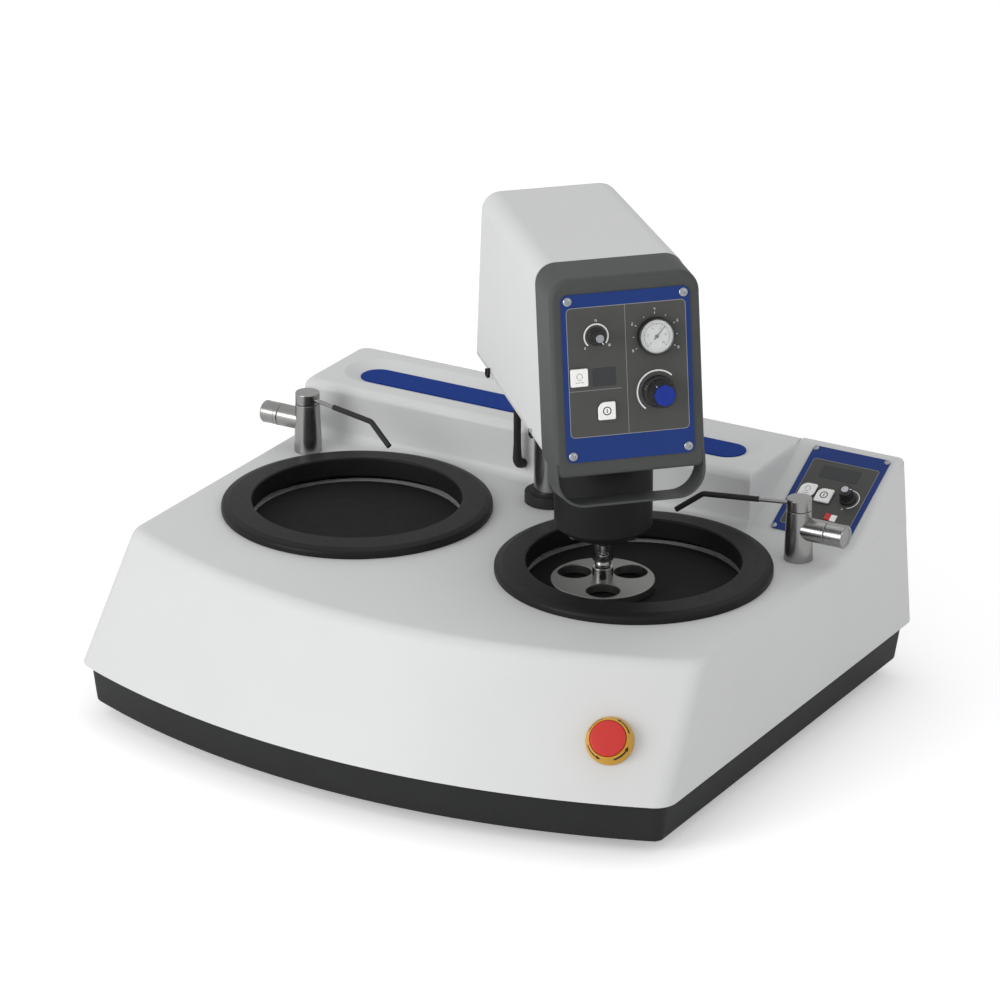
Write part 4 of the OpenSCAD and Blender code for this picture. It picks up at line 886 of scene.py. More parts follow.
def build_upstand(form):
    """Rings of a rounded rectangle that rise from a flared foot to a rounded top edge, a flat top with a
    stadium hole, and the dish's sides down to its floor."""
    s = settings().housing
    deck, top, step, round_r, flare_r = mm(s.deck), mm(s.top), 0.5, 11.0, 12.0
    x1, y0, y1 = mm(s.console), mm(s.upstand), mm(s.back)

    def ring(z, inset, flare):
        x0 = -half_width(z) + step + inset
        return rectangle(
            x0, y0 + inset - flare, x1 - inset * 0.35, y1 - step - inset,
            (2.0, 2.0, 12.0, 14.0 + flare)[::-1][:1] + (1.5, 1.5, 12.0), 8,
        )

    outlines, heights = [ring(deck - 14, 0, flare_r)], [deck - 14]
    for h in flare_r * (1 - np.cos(np.radians(np.linspace(0, 90, 9)))):
        outlines.append(ring(deck + h, 0, flare_r - math.sqrt(max(flare_r**2 - (flare_r - h) ** 2, 0))))
        heights.append(deck + h)
    for a in np.radians(np.linspace(0, 90, 9)):
        outlines.append(ring(top - round_r + round_r * math.sin(a), round_r * (1 - math.cos(a)), 0))
        heights.append(top - round_r + round_r * math.sin(a))
    form.stack(outlines, heights, ends=(False, False))
    ends, middle = (-307.0, 175.0), mm(s.back) - 70.5
    slope = soften([(47.0, top), (42.0, top), (23.0, top - 8), (4.0, top - 8)], (0, 7, 9, 0), 7)
    form.sheet([outlines[-1], stadium(*ends, middle, slope[0, 0])], top)
    form.stack([stadium(*ends, middle, r) for r in slope[:, 0]], slope[:, 1], ends=(False, True))


def build_console(form):
    """A profile from the deck up the slope and over to the back, carried along X; its last columns roll over
    the right edge: X grows by radius * sine while the surface sinks by radius * (1 - cosine)."""
    s = settings().housing
    deck, top, back, left = mm(s.deck), mm(s.top), mm(s.back), mm(s.console)
    profile = soften(
        [(184, deck - 0.3), (198, deck - 0.3), (314, top - 0.4), (back - 1, top - 0.4), (back - 1, deck - 14)],
        (0, 18, 12, 5, 0), 7,
    )
    step = np.gradient(profile, axis=0)
    step /= np.linalg.norm(step, axis=1)[:, None]
    inward = np.stack([step[:, 1], -step[:, 0]], -1)
    roll = 7.0
    edge = np.array([half_width(z) for z in profile[:, 1]]) - 1.0
    columns = [(left - 1 + 0 * edge, profile), (left + 1 + 0 * edge, profile)]
    for a in np.radians(np.linspace(0, 90, 7)):
        columns.append((edge - roll + roll * math.sin(a), profile + inward * roll * (1 - math.cos(a))))
    grid = np.array([np.column_stack([x, yz]) for x, yz in columns])
    form.grid(grid[::-1], None, False, False, (False, False))
    start = form.add(np.concatenate([grid[-1], [[edge[0], 200, deck - 14]]]), None)
    form.faces.append(list(range(start, start + len(profile) + 1)))


FEET_X, FEET_Y = (-310, 310), (-222, 280)


def build_tray():
    """Plan outlines, each drawn in by its inset, are joined upwards. A profile of radius and height is turned
    about each foot's axis: x = r cos a, y = r sin a, z = h."""
    s = settings().housing
    rim, foot = mm(s.rim), mm(s.foot)
    rows = [(foot, 19.0), (foot + 0.6, 16.6), (foot + 2.2, 15.3), (foot + 4, 14.9), (rim - 6, 10.4),
            (rim - 4, 10.2), (rim - 3.2, 10.8), (rim - 3, 12.0), (rim - 3, 14.0), (rim, 14.0), (rim, 20.0)]
    form = Form()
    form.stack([plan(rim, i) for z, i in rows], [z for z, i in rows], ends=(True, False))
    form.build("tray", "base", finish("dark_paint"), "tray_paint", ["base_tray"])
    form = Form()
    profile = soften([(0, 0), (18.5, 0), (19.5, 2), (19.5, foot - 3), (15, foot - 2), (15, foot)],
                     (0, 1, 1.5, 1.5, 0.5, 0), 4)
    for x in FEET_X:
        for y in FEET_Y:
            form.turned(profile, Place((x, y, 0)), sides=64, ends=(True, True))
    form.build("foot_pads", "base", finish("rubber"), "foot_rubber", ["feet"])


def build_liner():
    """A stadium outline is raised between two heights, its rim rounded by a quarter circle."""
    form = Form()
    outline = stadium(-307, 175, mm(settings().housing.back) - 70.5, 22.2)
    form.slab(outline, 260.1, 261.6, bevel=0.7)
    form.build("dish_liner", "base", finish("liner"), "liner_blue", ["tray_liner"])


def build_stations():
    """A profile of radius and height is turned about the piece's axis: x = r cos a, y = r sin a, z = h. Ring,
    bowl, platen and disc share the axis of their station."""
    s, deck = settings().disc, mm(settings().housing.deck)
    disc, ring, lip = mm(s.disc), mm(s.ring), mm(s.lip)
    face = deck - mm(s.drop)
    for side, name in ((-1, "left"), (1, "right")):
        place = disc_place(side)
        splash = Form()
        splash.turned(soften(
            [(157.2, deck), (ring, deck), (ring, deck + 8.4), (150, deck + 11.2), (lip, deck + 13),
             (lip, deck - 10), (lip + 2.3, deck - 10), (lip + 2.3, deck + 10.4), (150, deck + 8.2),
             (157.2, deck + 5.5)],
            (0.4, 0.8, 4.5, 6, 2.2, 0.9, 0.9, 1.5, 4, 1.2), 6, closed=True), place, loop=True)
        splash.build(name + "_ring", name + "_ring", finish("ring_plastic"), "bowl_plastic",
            [name + "_splash_ring"])
        bowl = Form()
        bowl.turned(soften(
            [(18, 120), (150, 120), (150, deck), (156, deck), (156, deck + 2), (147, deck + 2), (147, 123),
             (21, 123), (21, 154.7), (18, 154.7)],
            (0, 4, 0.3, 0.5, 0.8, 1.5, 9, 5, 1, 0.5), 5, closed=True), place, loop=True)
        drain = Place((side * mm(s.pitch), mm(s.row) + 123, 0))
        bowl.turned([(6.5, 110), (8, 110), (8, 121.5), (6.5, 121.5)], drain, sides=40, loop=True)
        bowl.build(name + "_tub", "base", finish("ring_plastic"), "bowl_plastic", [name + "_bowl"])
        platen = Form()
        low = face - 17.8
        platen.turned(soften(
            [(10.1, low), (139, low), (140, low + 1), (140, low + 6), (138.5, low + 7.5), (140, low + 9),
             (140, low + 15), (139, low + 16), (10.1, low + 16)], (0, 0.6, 0.6, 0.8, 0.8, 0.8, 0.8, 0.6, 0), 3),
            place)
        platen.turned([(10.1, low + 15.9), (10.1, low)], place)
        platen.turned([(10.1, low + 11.2), (0.5, low + 11.2)][::-1], place, ends=(False, False))
        platen.build(name + "_turntable", name + "_disc_drive", finish("platen_" + name), "platen_aluminium",
                     [name + "_platen"])
        paper = Form()
        paper.turned(soften(
            [(0.4, face - 1.8), (disc, face - 1.8), (disc, face), (0.4, face)], (0, 0.5, 0.5, 0), 3),
            place, ends=(True, True))
        paper.build(name + "_paper", name + "_disc_drive", finish("abrasive"), "disc_abrasive",
            [name + "_disc"])


def build_column():
    """A profile of radius and height is turned about the piece's axis: x = r cos a, y = r sin a, z = h. The
    conduit carries a circle along a path with rounded corners: p = path + r (n cos a + b sin a)."""
    s = settings().head
    column, deck = Place((0, mm(s.column), 0)), mm(settings().housing.deck)
    form = Form()
    form.turned(soften([(16, 104), (20, 104), (20, 465), (16, 465)], (0, 1, 1.5, 1), 3, closed=True), column,
        loop=True)
    way = np.array([-62.0, 28.0, 0.0]) / math.hypot(62, 28)
    port = Place((0, mm(s.column), 345), (0, 0, -1), np.cross(way, (0, 0, -1)))
    form.turned(soften([(4.6, 18.5), (7.5, 18.5), (7.5, 34), (4.6, 34)], (0, 0, 1, 0.4), 3, closed=True),
                port, sides=48, loop=True)
    form.build("column_tube", "base", finish("polished"), "polished_steel", ["column"])
    form = Form()
    form.turned(soften(
        [(20.05, deck), (31, deck), (31, deck + 13), (24, deck + 13), (24, deck + 16), (20.05, deck + 16)],
        (0, 0.5, 1.2, 0.6, 0.8, 0.3), 4, closed=True), column, loop=True)
    form.build("column_foot", "base", finish("dark_paint"), "tray_paint", ["column_flange"])
    form = Form()
    corner = np.array([0, mm(s.column), 345]) + way * 34.2
    path = [(-62, 197, 221), (-62, 175, 221), (-62, 175, 345), tuple(corner)]
    legs = soften(path, (0, 12, 12, 0), 10)
    legs = np.concatenate([np.linspace(a, b, 6, endpoint=False) for a, b in zip(legs[:-1],
        legs[1:])] + [legs[-1:]])
    rise = legs[:, 2]
    gland = np.where((rise < 249), 5.5, 4.5) + np.where(rise < 249, 0.25 * np.sin(rise * 2.2), 0)
    form.tube(legs, gland, sides=32)
    form.build("conduit", "base", finish("rubber"), "black_plastic", ["cable_conduit"])


def casing_ring(inset, y_at, shift, taper=0.0):
    """Section of the casing: up the left side, round two top corners and down the right side. Its Y follows the
    sloping plane y_at(z)."""
    s = settings().head
    half, low, top = mm(s.half) - inset - taper, mm(s.low), mm(s.top) - inset
    r = 22.0 - inset / 2
    flat = np.concatenate([
        [(half, low), (half, low + 6)], arc((half - r, top - r), r, 0, 90, 10),
        arc((-half + r, top - r), r, 90, 180, 10), [(-half, low + 6), (-half, low)],
    ])
    return np.column_stack([flat[:, 0], y_at(flat[:, 1]) + shift, flat[:, 1]])


# The casing's back: its Y at the foot, its lean, the height of the foot and the rise to the top
TAIL, TAIL_LEAN, TAIL_LOW, TAIL_RISE = 54.0, 28.0, 380.0, 207.0


def tail_y(z):
    """Y of the casing's back: falls in proportion to the height."""
    return TAIL - TAIL_LEAN * (z - TAIL_LOW) / TAIL_RISE


def seam_y(z):
    """Y of the tilted seam behind the front: grows by the tangent of the tilt with the height."""
    s = settings().head
    return -(mm(s.reach) - (z - mm(s.middle)) * math.tan(s.tilt) - mm(s.depth) / math.cos(s.tilt))


def build_casing():
    """Casing sections are carried from the seam to the tail, their Y blending between both planes."""
    place, form, r = head_place(), Form(), 22.0
    rings = [
        casing_ring(r * (1 - math.sin(a)), tail_y, -r * (1 - math.cos(a)), 5.0)
        for a in np.radians(np.linspace(0, 90, 10))
    ]
    rings += [casing_ring(0, seam_y, 6), casing_ring(0, seam_y, 0.6),
              casing_ring(0.8, seam_y, 0.1)]
    form.grid(np.array(rings), place, False, False, (True, False))
    shell = form.build("head_casing", "head", finish("light_paint"), "housing_paint", ["head_shell"])
    wall = shell.modifiers.new("Wall", "SOLIDIFY")
    wall.thickness, wall.offset, wall.use_even_offset = 3 * MM, -1, True
    shell.modifiers.move(1, 0)
    form = Form()
    for y in (-29, -226):
        clip = place.on((-86.0, y, 380), (0, 1, 0), (0, 0, 1))
        path = soften([(-5, 7), (-5, -5), (5, -5), (5, 3)], (0, 2, 2, 0), 4)
        form.ribbon(path, [(0.7, 0.1), (-0.7, 0.1), (-0.7, 3.4), (0.7, 3.4)], clip)
    form.build("casing_catches", "head", finish("black_plastic"), "black_plastic")


def face_height(z, depth):
    """Where a level plane meets the tilted front at a depth behind it."""
    s = settings().head
    return (z - mm(s.middle) + depth * math.sin(s.tilt)) / math.cos(s.tilt)


def fascia_ring(depth, inset):
    """Section of the dark front at one depth."""
    s = settings().head
    half, top = mm(s.half) - inset, face_height(mm(s.top) - inset, depth)
    low = face_height(mm(s.middle) - 112 * math.cos(s.tilt) + inset, depth)
    r = 24.0 - inset
    return rectangle(-half, low, half, top, (8, 8, r, r), 10), -depth


def build_fascia():
    """Sections of the front are joined through its depth; the grip is a tube along a rounded loop."""
    place, form, edge = face_place(), Form(), 6.0
    rows = [fascia_ring(60, 0), fascia_ring(edge, 0)]
    rows += [fascia_ring(edge * (1 - math.sin(a)),
        edge * (1 - math.cos(a))) for a in np.radians(np.linspace(0, 90, 8))]
    form.stack([o for o, h in rows], [h for o, h in rows], place, (False, True))
    path = soften([(-84.4, -96), (-84.4, -144.4), (84.4, -144.4), (84.4, -96)], (0, 31, 31, 0), 14)
    section = soften([(1.5, -38), (1.5, 0), (-1.5, 0), (-1.5, -38)], (0.8, 1.1, 1.1, 0.8), 3, closed=True)
    form.ribbon(path, section[::-1], place)
    form.build("head_front", "head", finish("front_paint"), "fascia_paint", ["head_fascia"])


# Printed fields, scales and digits

DIGITS = {
    "0": [[(0, 0), (1, 0), (1, 2), (0, 2), (0, 0)]],
    "1": [[(0.2, 1.6), (0.6, 2), (0.6, 0)]],
    "2": [[(0, 2), (1, 2), (1, 1), (0, 1), (0, 0), (1, 0)]],
    "3": [[(0, 2), (1, 2), (1, 0), (0, 0)], [(0.3, 1), (1, 1)]],
    "4": [[(0, 2), (0, 1), (1, 1)], [(1, 2), (1, 0)]],
    "5": [[(1, 2), (0, 2), (0, 1), (1, 1), (1, 0), (0, 0)]],
    "6": [[(1, 2), (0, 2), (0, 0), (1, 0), (1, 1), (0, 1)]],
    "8": [[(0, 0), (1, 0), (1, 2), (0, 2), (0, 0)], [(0, 1), (1, 1)]],
}


def digits(form, text, x, y, size, low, high, place):
    """Numbers from straight strokes, centred on a point, size high."""
    unit = size / 2
    left = x - unit * (len(text) * 1.5 - 0.5) / 2
    for i, mark in enumerate(text):
        for stroke in DIGITS[mark]:
            pts = np.array(stroke) * unit + (left + i * 1.5 * unit, y - unit)
            form.line(pts, size * 0.16, low, high, place)


def scale_marks(form, at, radius, start, end, count, long, low, high, place, width=0.45):
    """Radial ticks at equal angles."""
    for i, a in enumerate(np.radians(np.linspace(start, end, count))):
        way = np.array([math.cos(a), math.sin(a)])
        tick = long if i % 2 == 0 else long * 0.6
        form.line([np.array(at) + way * radius, np.array(at) + way * (radius + tick)], width, low, high, place)


def build_head_panel():
    """Rounded outlines are raised along the front's normal; marks are strips of even width on arcs and
    lines."""
    place = face_place()
    plate, top = Form(), 1.5
    plate.slab(rectangle(-73.5, -94, 73.5, 94, (8, 8, 8, 8), 8), 0, top, place, 0.35)
    plate.build("head_plate", "head", finish("blue_film"), "panel_film", ["head_panel"])
    field = Form()
    field.slab(rectangle(-68, -66, 68, 79, (5, 5, 5, 5), 6), top, top + 0.1, place)
    field.build("head_field", "head", finish("grey_film"), "panel_film")
    low, high = top + 0.05, top + 0.22
    lines = Form()
    lines.line(rectangle(-68, -66, 68, 79, (5, 5, 5, 5), 6), 0.7, low, high, place, closed=True)
    lines.line([(-1.5, -65.8), (-1.5, 78.8)], 0.55, low, high, place)
    lines.line([(-67.8, -14), (-8, -14)], 0.55, low, high, place)
    lines.build("head_lines", "head", finish("grey_print"), "white_plastic")
    marks = Form()
    for at, radius, start, end, width in (((-35, 46), 13.6, -38, 225, 1.6), ((33, -21.5), 23.4, 45, 232, 1.6)):
        marks.line(arc(at, radius, start, end, 48), width, low, high, place)
    scale_marks(marks, (32.5, 41), 24.2, -30, 210, 9, 2.6, low, high, place, 0.5)
    for a, text in ((210, "0"), (150, "2"), (90, "4"), (30, "6"), (-30, "8")):
        x, y = 32.5 + 30 * math.cos(math.radians(a)), 41 + 30 * math.sin(math.radians(a))
        digits(marks, text, x, y, 2.6, low, high, place)
    for a, text in ((225, "0"), (90, "15"), (-38, "30")):
        x, y = -35 + 18.4 * math.cos(math.radians(a)), 46 + 17.6 * math.sin(math.radians(a))
        digits(marks, text, x, y, 2.2, low, high, place)
    marks.build("head_marks", "head", finish("white_print"), "white_plastic")
    window = Form()
    window.slab(rectangle(-41, -10.5, -14, 10.5, (1.5,) * 4, 4), top, top + 0.2, place, 0.1)
    window.build("head_display", "head", finish("display"), "black_plastic")
    screws(place, 66.2, 86.7, 5.0, "head_bolts", "head", "head_panel_screws")


def screws(place, x, y, radius, name, body, node):
    """Domed screw heads at four corners: A profile of radius and height is turned about the piece's axis: x = r
    cos a, y = r sin a, z = h."""
    form = Form()
    for sx in (-1, 1):
        for sy in (-1, 1):
            at = place.on((sx * x, sy * y, 1.5)).turned(17 * sx + 31 * sy)
            r = radius
            form.turned([(r, 0), (r, r * 0.14), (r * 0.96, r * 0.2), (r * 0.8, r * 0.32), (r * 0.55, r * 0.4),
                         (r * 0.42, r * 0.42), (r * 0.4, r * 0.2), (0.05, r * 0.2)], at, sides=48,
                             ends=(True, True))
    form.build(name, body, finish("screw_steel"), "polished_steel", [node])


def build_gauge():
    """A profile of radius and height is turned about the piece's axis: x = r cos a, y = r sin a, z = h. The
    needle is a flat outline raised along it."""
    place = face_place().on((32.5, 41, 1.5))
    case = Form()
    case.turned(soften(
        [(21, 0), (21, 7.2), (20.4, 9), (19.2, 9), (18.6, 6.1), (0.4, 6.0)], (0, 1.2, 0.7, 0.5, 0, 0), 4),
            place,
        ends=(True, False))
    case.build("gauge_body", "head", finish("black_plastic"), "black_plastic", ["gauge_case"])
    dial = Form()
    dial.slab(circle(18.4, 96), 5.9, 6.12, place)
    dial.build("gauge_dial", "head", finish("dial"), "white_plastic")
    ink = Form()
    low, high = 6.05, 6.22
    ink.line(arc((0, 0), 14.6, -45, 225, 60), 0.3, low, high, place)
    scale_marks(ink, (0, 0), 13.0, 225, -45, 21, 2.2, low, high, place, 0.32)
    for a, text in zip(np.linspace(225, -45, 6), ("0", "2", "4", "6", "8", "10")):
        x, y = 10.2 * math.cos(math.radians(a)), 10.2 * math.sin(math.radians(a))
        digits(ink, text, x, y, 2.3, low, high, place)
    ink.build("gauge_scale", "head", finish("ink"), "black_plastic")
    needle = Form()
    turn = place.turned(48)
    needle.slab(np.array([(-0.55, -4.5), (0.55, -4.5), (0.2, 14.5), (-0.2, 14.5)]), 6.35, 6.85,
        turn.turned(-90 - 90 + 90))
    needle.turned(soften([(2.1, 6.3), (2.1, 7.1), (0.2, 7.2)], (0, 0.4, 0), 3), place, sides=40, ends=(True,
        True))
    needle.build("gauge_pointer", "needle", finish("ink"), "black_plastic", ["gauge_needle"])
    glass = Form()
    glass.turned([(19.0, 7.9), (19.0, 8.5), (12, 8.66), (0.3, 8.7)], place, sides=72, ends=(True, True))
    glass.build("gauge_glass", "head", finish("lens"), "clear_glass", ["gauge_lens"])


def fluted(rows, count, depth):
    """Radius scale: 1 minus a bounded cosine wave on the given rows, which cuts grip flutes."""
    return lambda row, a: 1 - depth * np.isin(row, rows) * np.clip(np.cos(count * a) * 1.6, -1, 1) * 0.5 - (
        depth * 0.5 * np.isin(row, rows))


def knob(at, place, name, body, node, radius, height, cap_r, cap_finish, sided=0, pointer=90.0):
    """Skirted knob with a fluted grip and a bright cap."""
    spot = place.on((at[0], at[1], 0))
    grip, base = radius * 0.84, 1.8
    profile = [(radius - 0.3, base), (radius, base + 0.4), (radius, base + height * 0.14),
               (radius * 0.95, base + height * 0.2), (grip, base + height * 0.24), (grip, base + height * 0.3),
               (grip * 0.97, base + height * 0.78), (grip * 0.95, base + height * 0.86),
               (grip * 0.88, base + height * 0.9), (0.3, base + height * 0.9)]
    form = Form()
    form.turned(profile, spot, wave=fluted([4, 5, 6, 7], 22 if radius < 15 else 30, 0.05), ends=(True, True))
    form.build(name, body, finish("black_plastic"), "black_plastic", [node])
    cap = Form()
    cap.turned(soften([(cap_r, base + height * 0.88), (cap_r, base + height), (0.2, base + height)], (0, 0.6,
        0), 3),
               spot, sides=sided or 64, ends=(True, True))
    cap.build(name + "_cap", body, finish(cap_finish),
        "polished_steel" if cap_finish != "blue_cap" else "panel_film")
    mark = Form()
    way = spot.turned(pointer)
    mark.slab(rectangle(cap_r + 0.8, -0.5, radius * 0.78, 0.5, (0.2,) * 4, 2), base + height * 0.89,
              base + height * 0.92, way)
    mark.build(name + "_line", body, finish("white_print"), "white_plastic")


def button_outline(kind):
    """Outline of a key with its rounded corners."""
    half = 10.0
    if kind == "leaf":
        return rectangle(-half, -half, half, half, (2.2, 9.0, 2.2, 9.0), 8)
    if kind == "corner":
        return rectangle(-half, -half, half, half, (1.8, 1.8, 1.8, 8.5), 8)
    return rectangle(-half, -half, half, half, (1.8, 1.8, 1.8, 1.8), 8)


def button(at, place, name, body, node, kind, symbol):
    """Shallow cushion cap with a rounded edge and a printed symbol."""
    spot = place.on((at[0], at[1], 0))
    form = Form()
    outline, low, high = button_outline(kind), 3.0, 4.9
    a = np.radians(np.linspace(0, 90, 5))
    rows = [(0.0, low)] + [(0.9 * (1 - math.cos(t)), high - 0.9 + 0.9 * math.sin(t)) for t in a]
    form.stack([shrunk(outline, i) for i, z in rows], [z for i, z in rows], spot, (True, True))
    form.turned([(3, -9), (3, low + 0.5)], spot, sides=32, ends=(True, True))
    form.build(name, body, finish("white_plastic"), "white_plastic", [node])
    print_form = Form()
    low, high = high - 0.05, high + 0.08
    if symbol == "ring":
        print_form.line(circle(4.3, 48), 1.1, low, high, spot, closed=True)
        print_form.line([(0, -2.1), (0, 2.1)], 0.9, low, high, spot)
    else:
        print_form.line(arc((0, 1.6), 3.2, -50, 230, 30), 0.45, low, high, spot)
        print_form.line([(-2.0, -2.2), (2.0, -2.2)], 0.45, low, high, spot)
        print_form.line([(-4.6, -5.2), (4.6, -5.2)], 0.4, low, high, spot)
    print_form.build(name + "_symbol", body, finish("ink"), "black_plastic")


def build_head_controls():
    """Knobs are turned with a fluted radius r (1 - d cos n a); keys are raised outlines."""
    place = face_place()
    knob((-35, 46), place, "timer_dial", "timer_control", "timer_knob", 10, 17, 4.6, "screw_steel", pointer=-60)
    knob((33, -21.5), place, "pressure_dial", "pressure_control", "pressure_knob", 18, 30.6, 12.2,
        "blue_cap", 8, 130)
    button((-56.5, 1.5), place, "mode_key", "head_button", "head_square_button", "square", "lamp")
    button((-26.5, -38), place, "start_key", "start_button", "head_start_button", "corner", "ring")


def build_console_controls():
    """Raised outlines, and knobs turned with a fluted radius r (1 - d cos n a)."""
    place = console_place()
    top = 1.5
    plate = Form()
    plate.slab(rectangle(-50, -64, 50, 64, (4,) * 4, 6), 0, top, place, 0.35)
    plate.build("console_plate", "base", finish("blue_film"), "panel_film", ["console_panel"])
    field = Form()
    inner = rectangle(-42, -54, 43.5, 45.5, (3,) * 4, 5)
    field.slab(inner, top, top + 0.1, place)
    field.build("console_field", "base", finish("grey_film"), "panel_film")
    low, high = top + 0.05, top + 0.22
    lines = Form()
    lines.line(inner, 0.6, low, high, place, closed=True)
    lines.build("console_lines", "base", finish("grey_print"), "white_plastic")
    marks = Form()
    marks.line(arc((24, -3), 13.4, -75, 110, 40), 1.0, low, high, place)
    for a, text in ((-95, "0"), (130, "6")):
        x, y = 24 + 15.5 * math.cos(math.radians(a)), -3 + 15.5 * math.sin(math.radians(a))
        digits(marks, text, x, y, 2.4, low, high, place)
    marks.build("console_marks", "base", finish("white_print"), "white_plastic")
    window = Form()
    window.slab(rectangle(-26, 20, 24, 38.5, (1.5,) * 4, 4), top, top + 0.3, place, 0.15)
    window.build("console_display", "base", finish("display"), "black_plastic")
    screws(place, 46.4, 60.4, 3.5, "console_bolts", "base", "console_screws")
    knob((24, -3), place, "speed_dial", "speed_knob", "console_knob", 10, 19, 4.6, "screw_steel", pointer=20)
    button((-28.5, -3), place, "run_key", "leaf_button", "console_leaf_button", "leaf", "lamp")
    button((-5.5, -6), place, "stop_key", "square_button", "console_square_button", "corner", "ring")
    rocker = Form()
    spot = place.on((15, -34, 0.75), (1, 0, 0), (0, 0, 1))
    half, rise = 7.2, 1.75
    lift = half * math.tan(math.radians(16))
    pressed = soften([(0, -6), (half, -6), (half, rise), (0, rise)], (0, 1, 0.6, 0), 4, closed=True)
    rocker.slab(pressed, -4.4, 4.4, spot)
    rocker.build("power_rocker", "rocker", finish("white_plastic"), "white_plastic", ["console_rocker"])
    raised = Form()
    shape = soften([(-half, -6), (0, -6), (0, rise), (-half, rise + lift)], (1, 0, 0, 0.8), 4, closed=True)
    raised.slab(shape, -4.4, 4.4, spot)
    raised.build("power_rocker_end", "rocker", finish("red_plastic"), "red_plastic")


# The holder's holes: their angles and the radius of their circle
HOLE_ANGLES = (-105, 15, 135)
HOLE_CIRCLE = 37


def build_mover():
    """A profile of radius and height is turned about the piece's axis: x = r cos a, y = r sin a, z = h. The
    holder's plate is a disc less three circles; its keyhole is a raised outline in black, painted shade for the
    open slot."""
    place, base = mover_place(), mm(settings().housing.deck)
    housing = Form()
    housing.turned(soften(
        [(52, 262), (56, 262), (56, 384), (18, 384), (18, 378), (52, 378)], (0.5, 3.2, 0.5, 0, 0, 2), 5,
            closed=True),
        place, loop=True)
    housing.build("spindle_cover", "head", finish("ring_plastic"), "fascia_paint", ["spindle_housing"])
    wheel = Form()
    wheel.turned(soften(
        [(12.1, 288), (51.9, 288), (51.9, 262.5), (42.4, 253.5), (12.1, 253.5)], (0, 1, 1.5, 1.2, 0.4), 5,
        closed=True), place, loop=True)
    for a in HOLE_ANGLES:
        collar = place.turned(a).on((HOLE_CIRCLE, 0, 0))
        wheel.turned([(4.1, 255), (4.1, 251.6), (6.2, 251.6), (6.8, 252.2), (6.8, 255)], collar, sides=40)
    wheel.turned([(12.1, 377.4), (17.4, 377.4), (17.4, 287), (12.1, 287)][::-1], place, loop=True)
    wheel.build("mover_wheel", "mover_plate", finish("ring_plastic"), "tray_paint", ["drive_plate"])
    shaft = Form()
    shaft.turned(soften(
        [(6.9, 197), (6.9, 210.4), (9, 210.4), (9.6, 213.5), (8.4, 217.6), (12, 218.6), (12, 368), (8, 368),
            (8, 430), (0.3, 430)],
        (0.5, 0, 1, 2.5, 0.8, 0.8, 0.5, 0, 0.5, 0), 4), place, sides=64, ends=(True, True))
    shaft.build("chuck_shaft", "mover_shaft", finish("polished"), "tray_paint", ["drive_shaft"])
    holes = [(HOLE_CIRCLE * math.cos(math.radians(a)),
        HOLE_CIRCLE * math.sin(math.radians(a))) for a in HOLE_ANGLES]
    plate, low, high = Form(), 185.0, 195.0
    rim = circle(60, 120)
    plate.stack([shrunk(rim, 0.8), rim, rim, shrunk(rim, 0.9)], [low, low + 0.8, high - 0.9, high], place,
                (False, False))
    wells = [circle(19.5, 72, c) for c in holes]
    wide = [circle(20.1, 72, c) for c in holes]
    plate.sheet([shrunk(rim, 0.9), *wide, circle(12.0, 72)], high, place)
    plate.sheet([shrunk(rim, 0.8), *wells], low, place, down=True)
    for inner, outer in zip(wells, wide):
        plate.stack([inner[::-1], inner[::-1], outer[::-1]], [low, high - 0.6, high], place, (False, False))
    plate.build("holder_plate", "mover_shaft", finish("holder_steel"), "steel", ["sample_holder"])
    boss = Form()
    boss.turned(soften([(12.0, high - 0.2), (12.0, 210), (7, 210), (7, 196)], (0, 1.0, 0.6, 0), 4), place,
        sides=72)
    boss.turned([(7, 196.5), (0.3, 196.5)], place, sides=72)
    for a in HOLE_ANGLES:
        screw = place.turned(a).on((58.0, 0, 190), (0, 1, 0), (0, 0, 1))
        boss.turned(soften([(1.6, 0), (1.6, 3), (0.5, 3), (0.5, 2.2), (0.1, 2.2)], (0, 0.4, 0.1, 0, 0), 2),
            screw,
                    sides=20, ends=(True, True))
    boss.build("holder_boss", "mover_shaft", finish("polished"), "polished_steel")
    # The keyhole is a flat patch in black ink: painted shade standing in for the hollow of the open slot.
    keyhole_shade_form = Form()
    key = place.turned(-105).on((12.02, 0, 0), (0, 1, 0), (0, 0, 1))
    outline = np.concatenate([arc((0, 200.8), 3.9, -235, 55, 24), [(1.9, 204.2), (1.9, 208.6), (-1.9, 208.6),
        (-1.9, 204.2)]])
    keyhole_shade_form.slab(outline, -1.2, 0.2, key)
    keyhole_shade_form.build("holder_keyway_painted_shade", "mover_shaft", finish("ink"), "black_plastic")
    for n, a in enumerate(HOLE_ANGLES, 1):
        at = place.turned(a).on((HOLE_CIRCLE, 0, 0))
        finger = Form()
        finger.turned(soften(
            [(0.3, 235), (4.6, 235), (6.5, 237), (6.5, 240), (4.0, 241), (4, 311), (0.3, 311)],
            (0, 0.8, 0.8, 0.8, 0.6, 0.6, 0), 4), at, sides=40, ends=(True, True))
        finger.build("press_pin_%d" % n, "press_finger_%d" % n, finish("polished"), "polished_steel",
            ["finger_%d" % n])


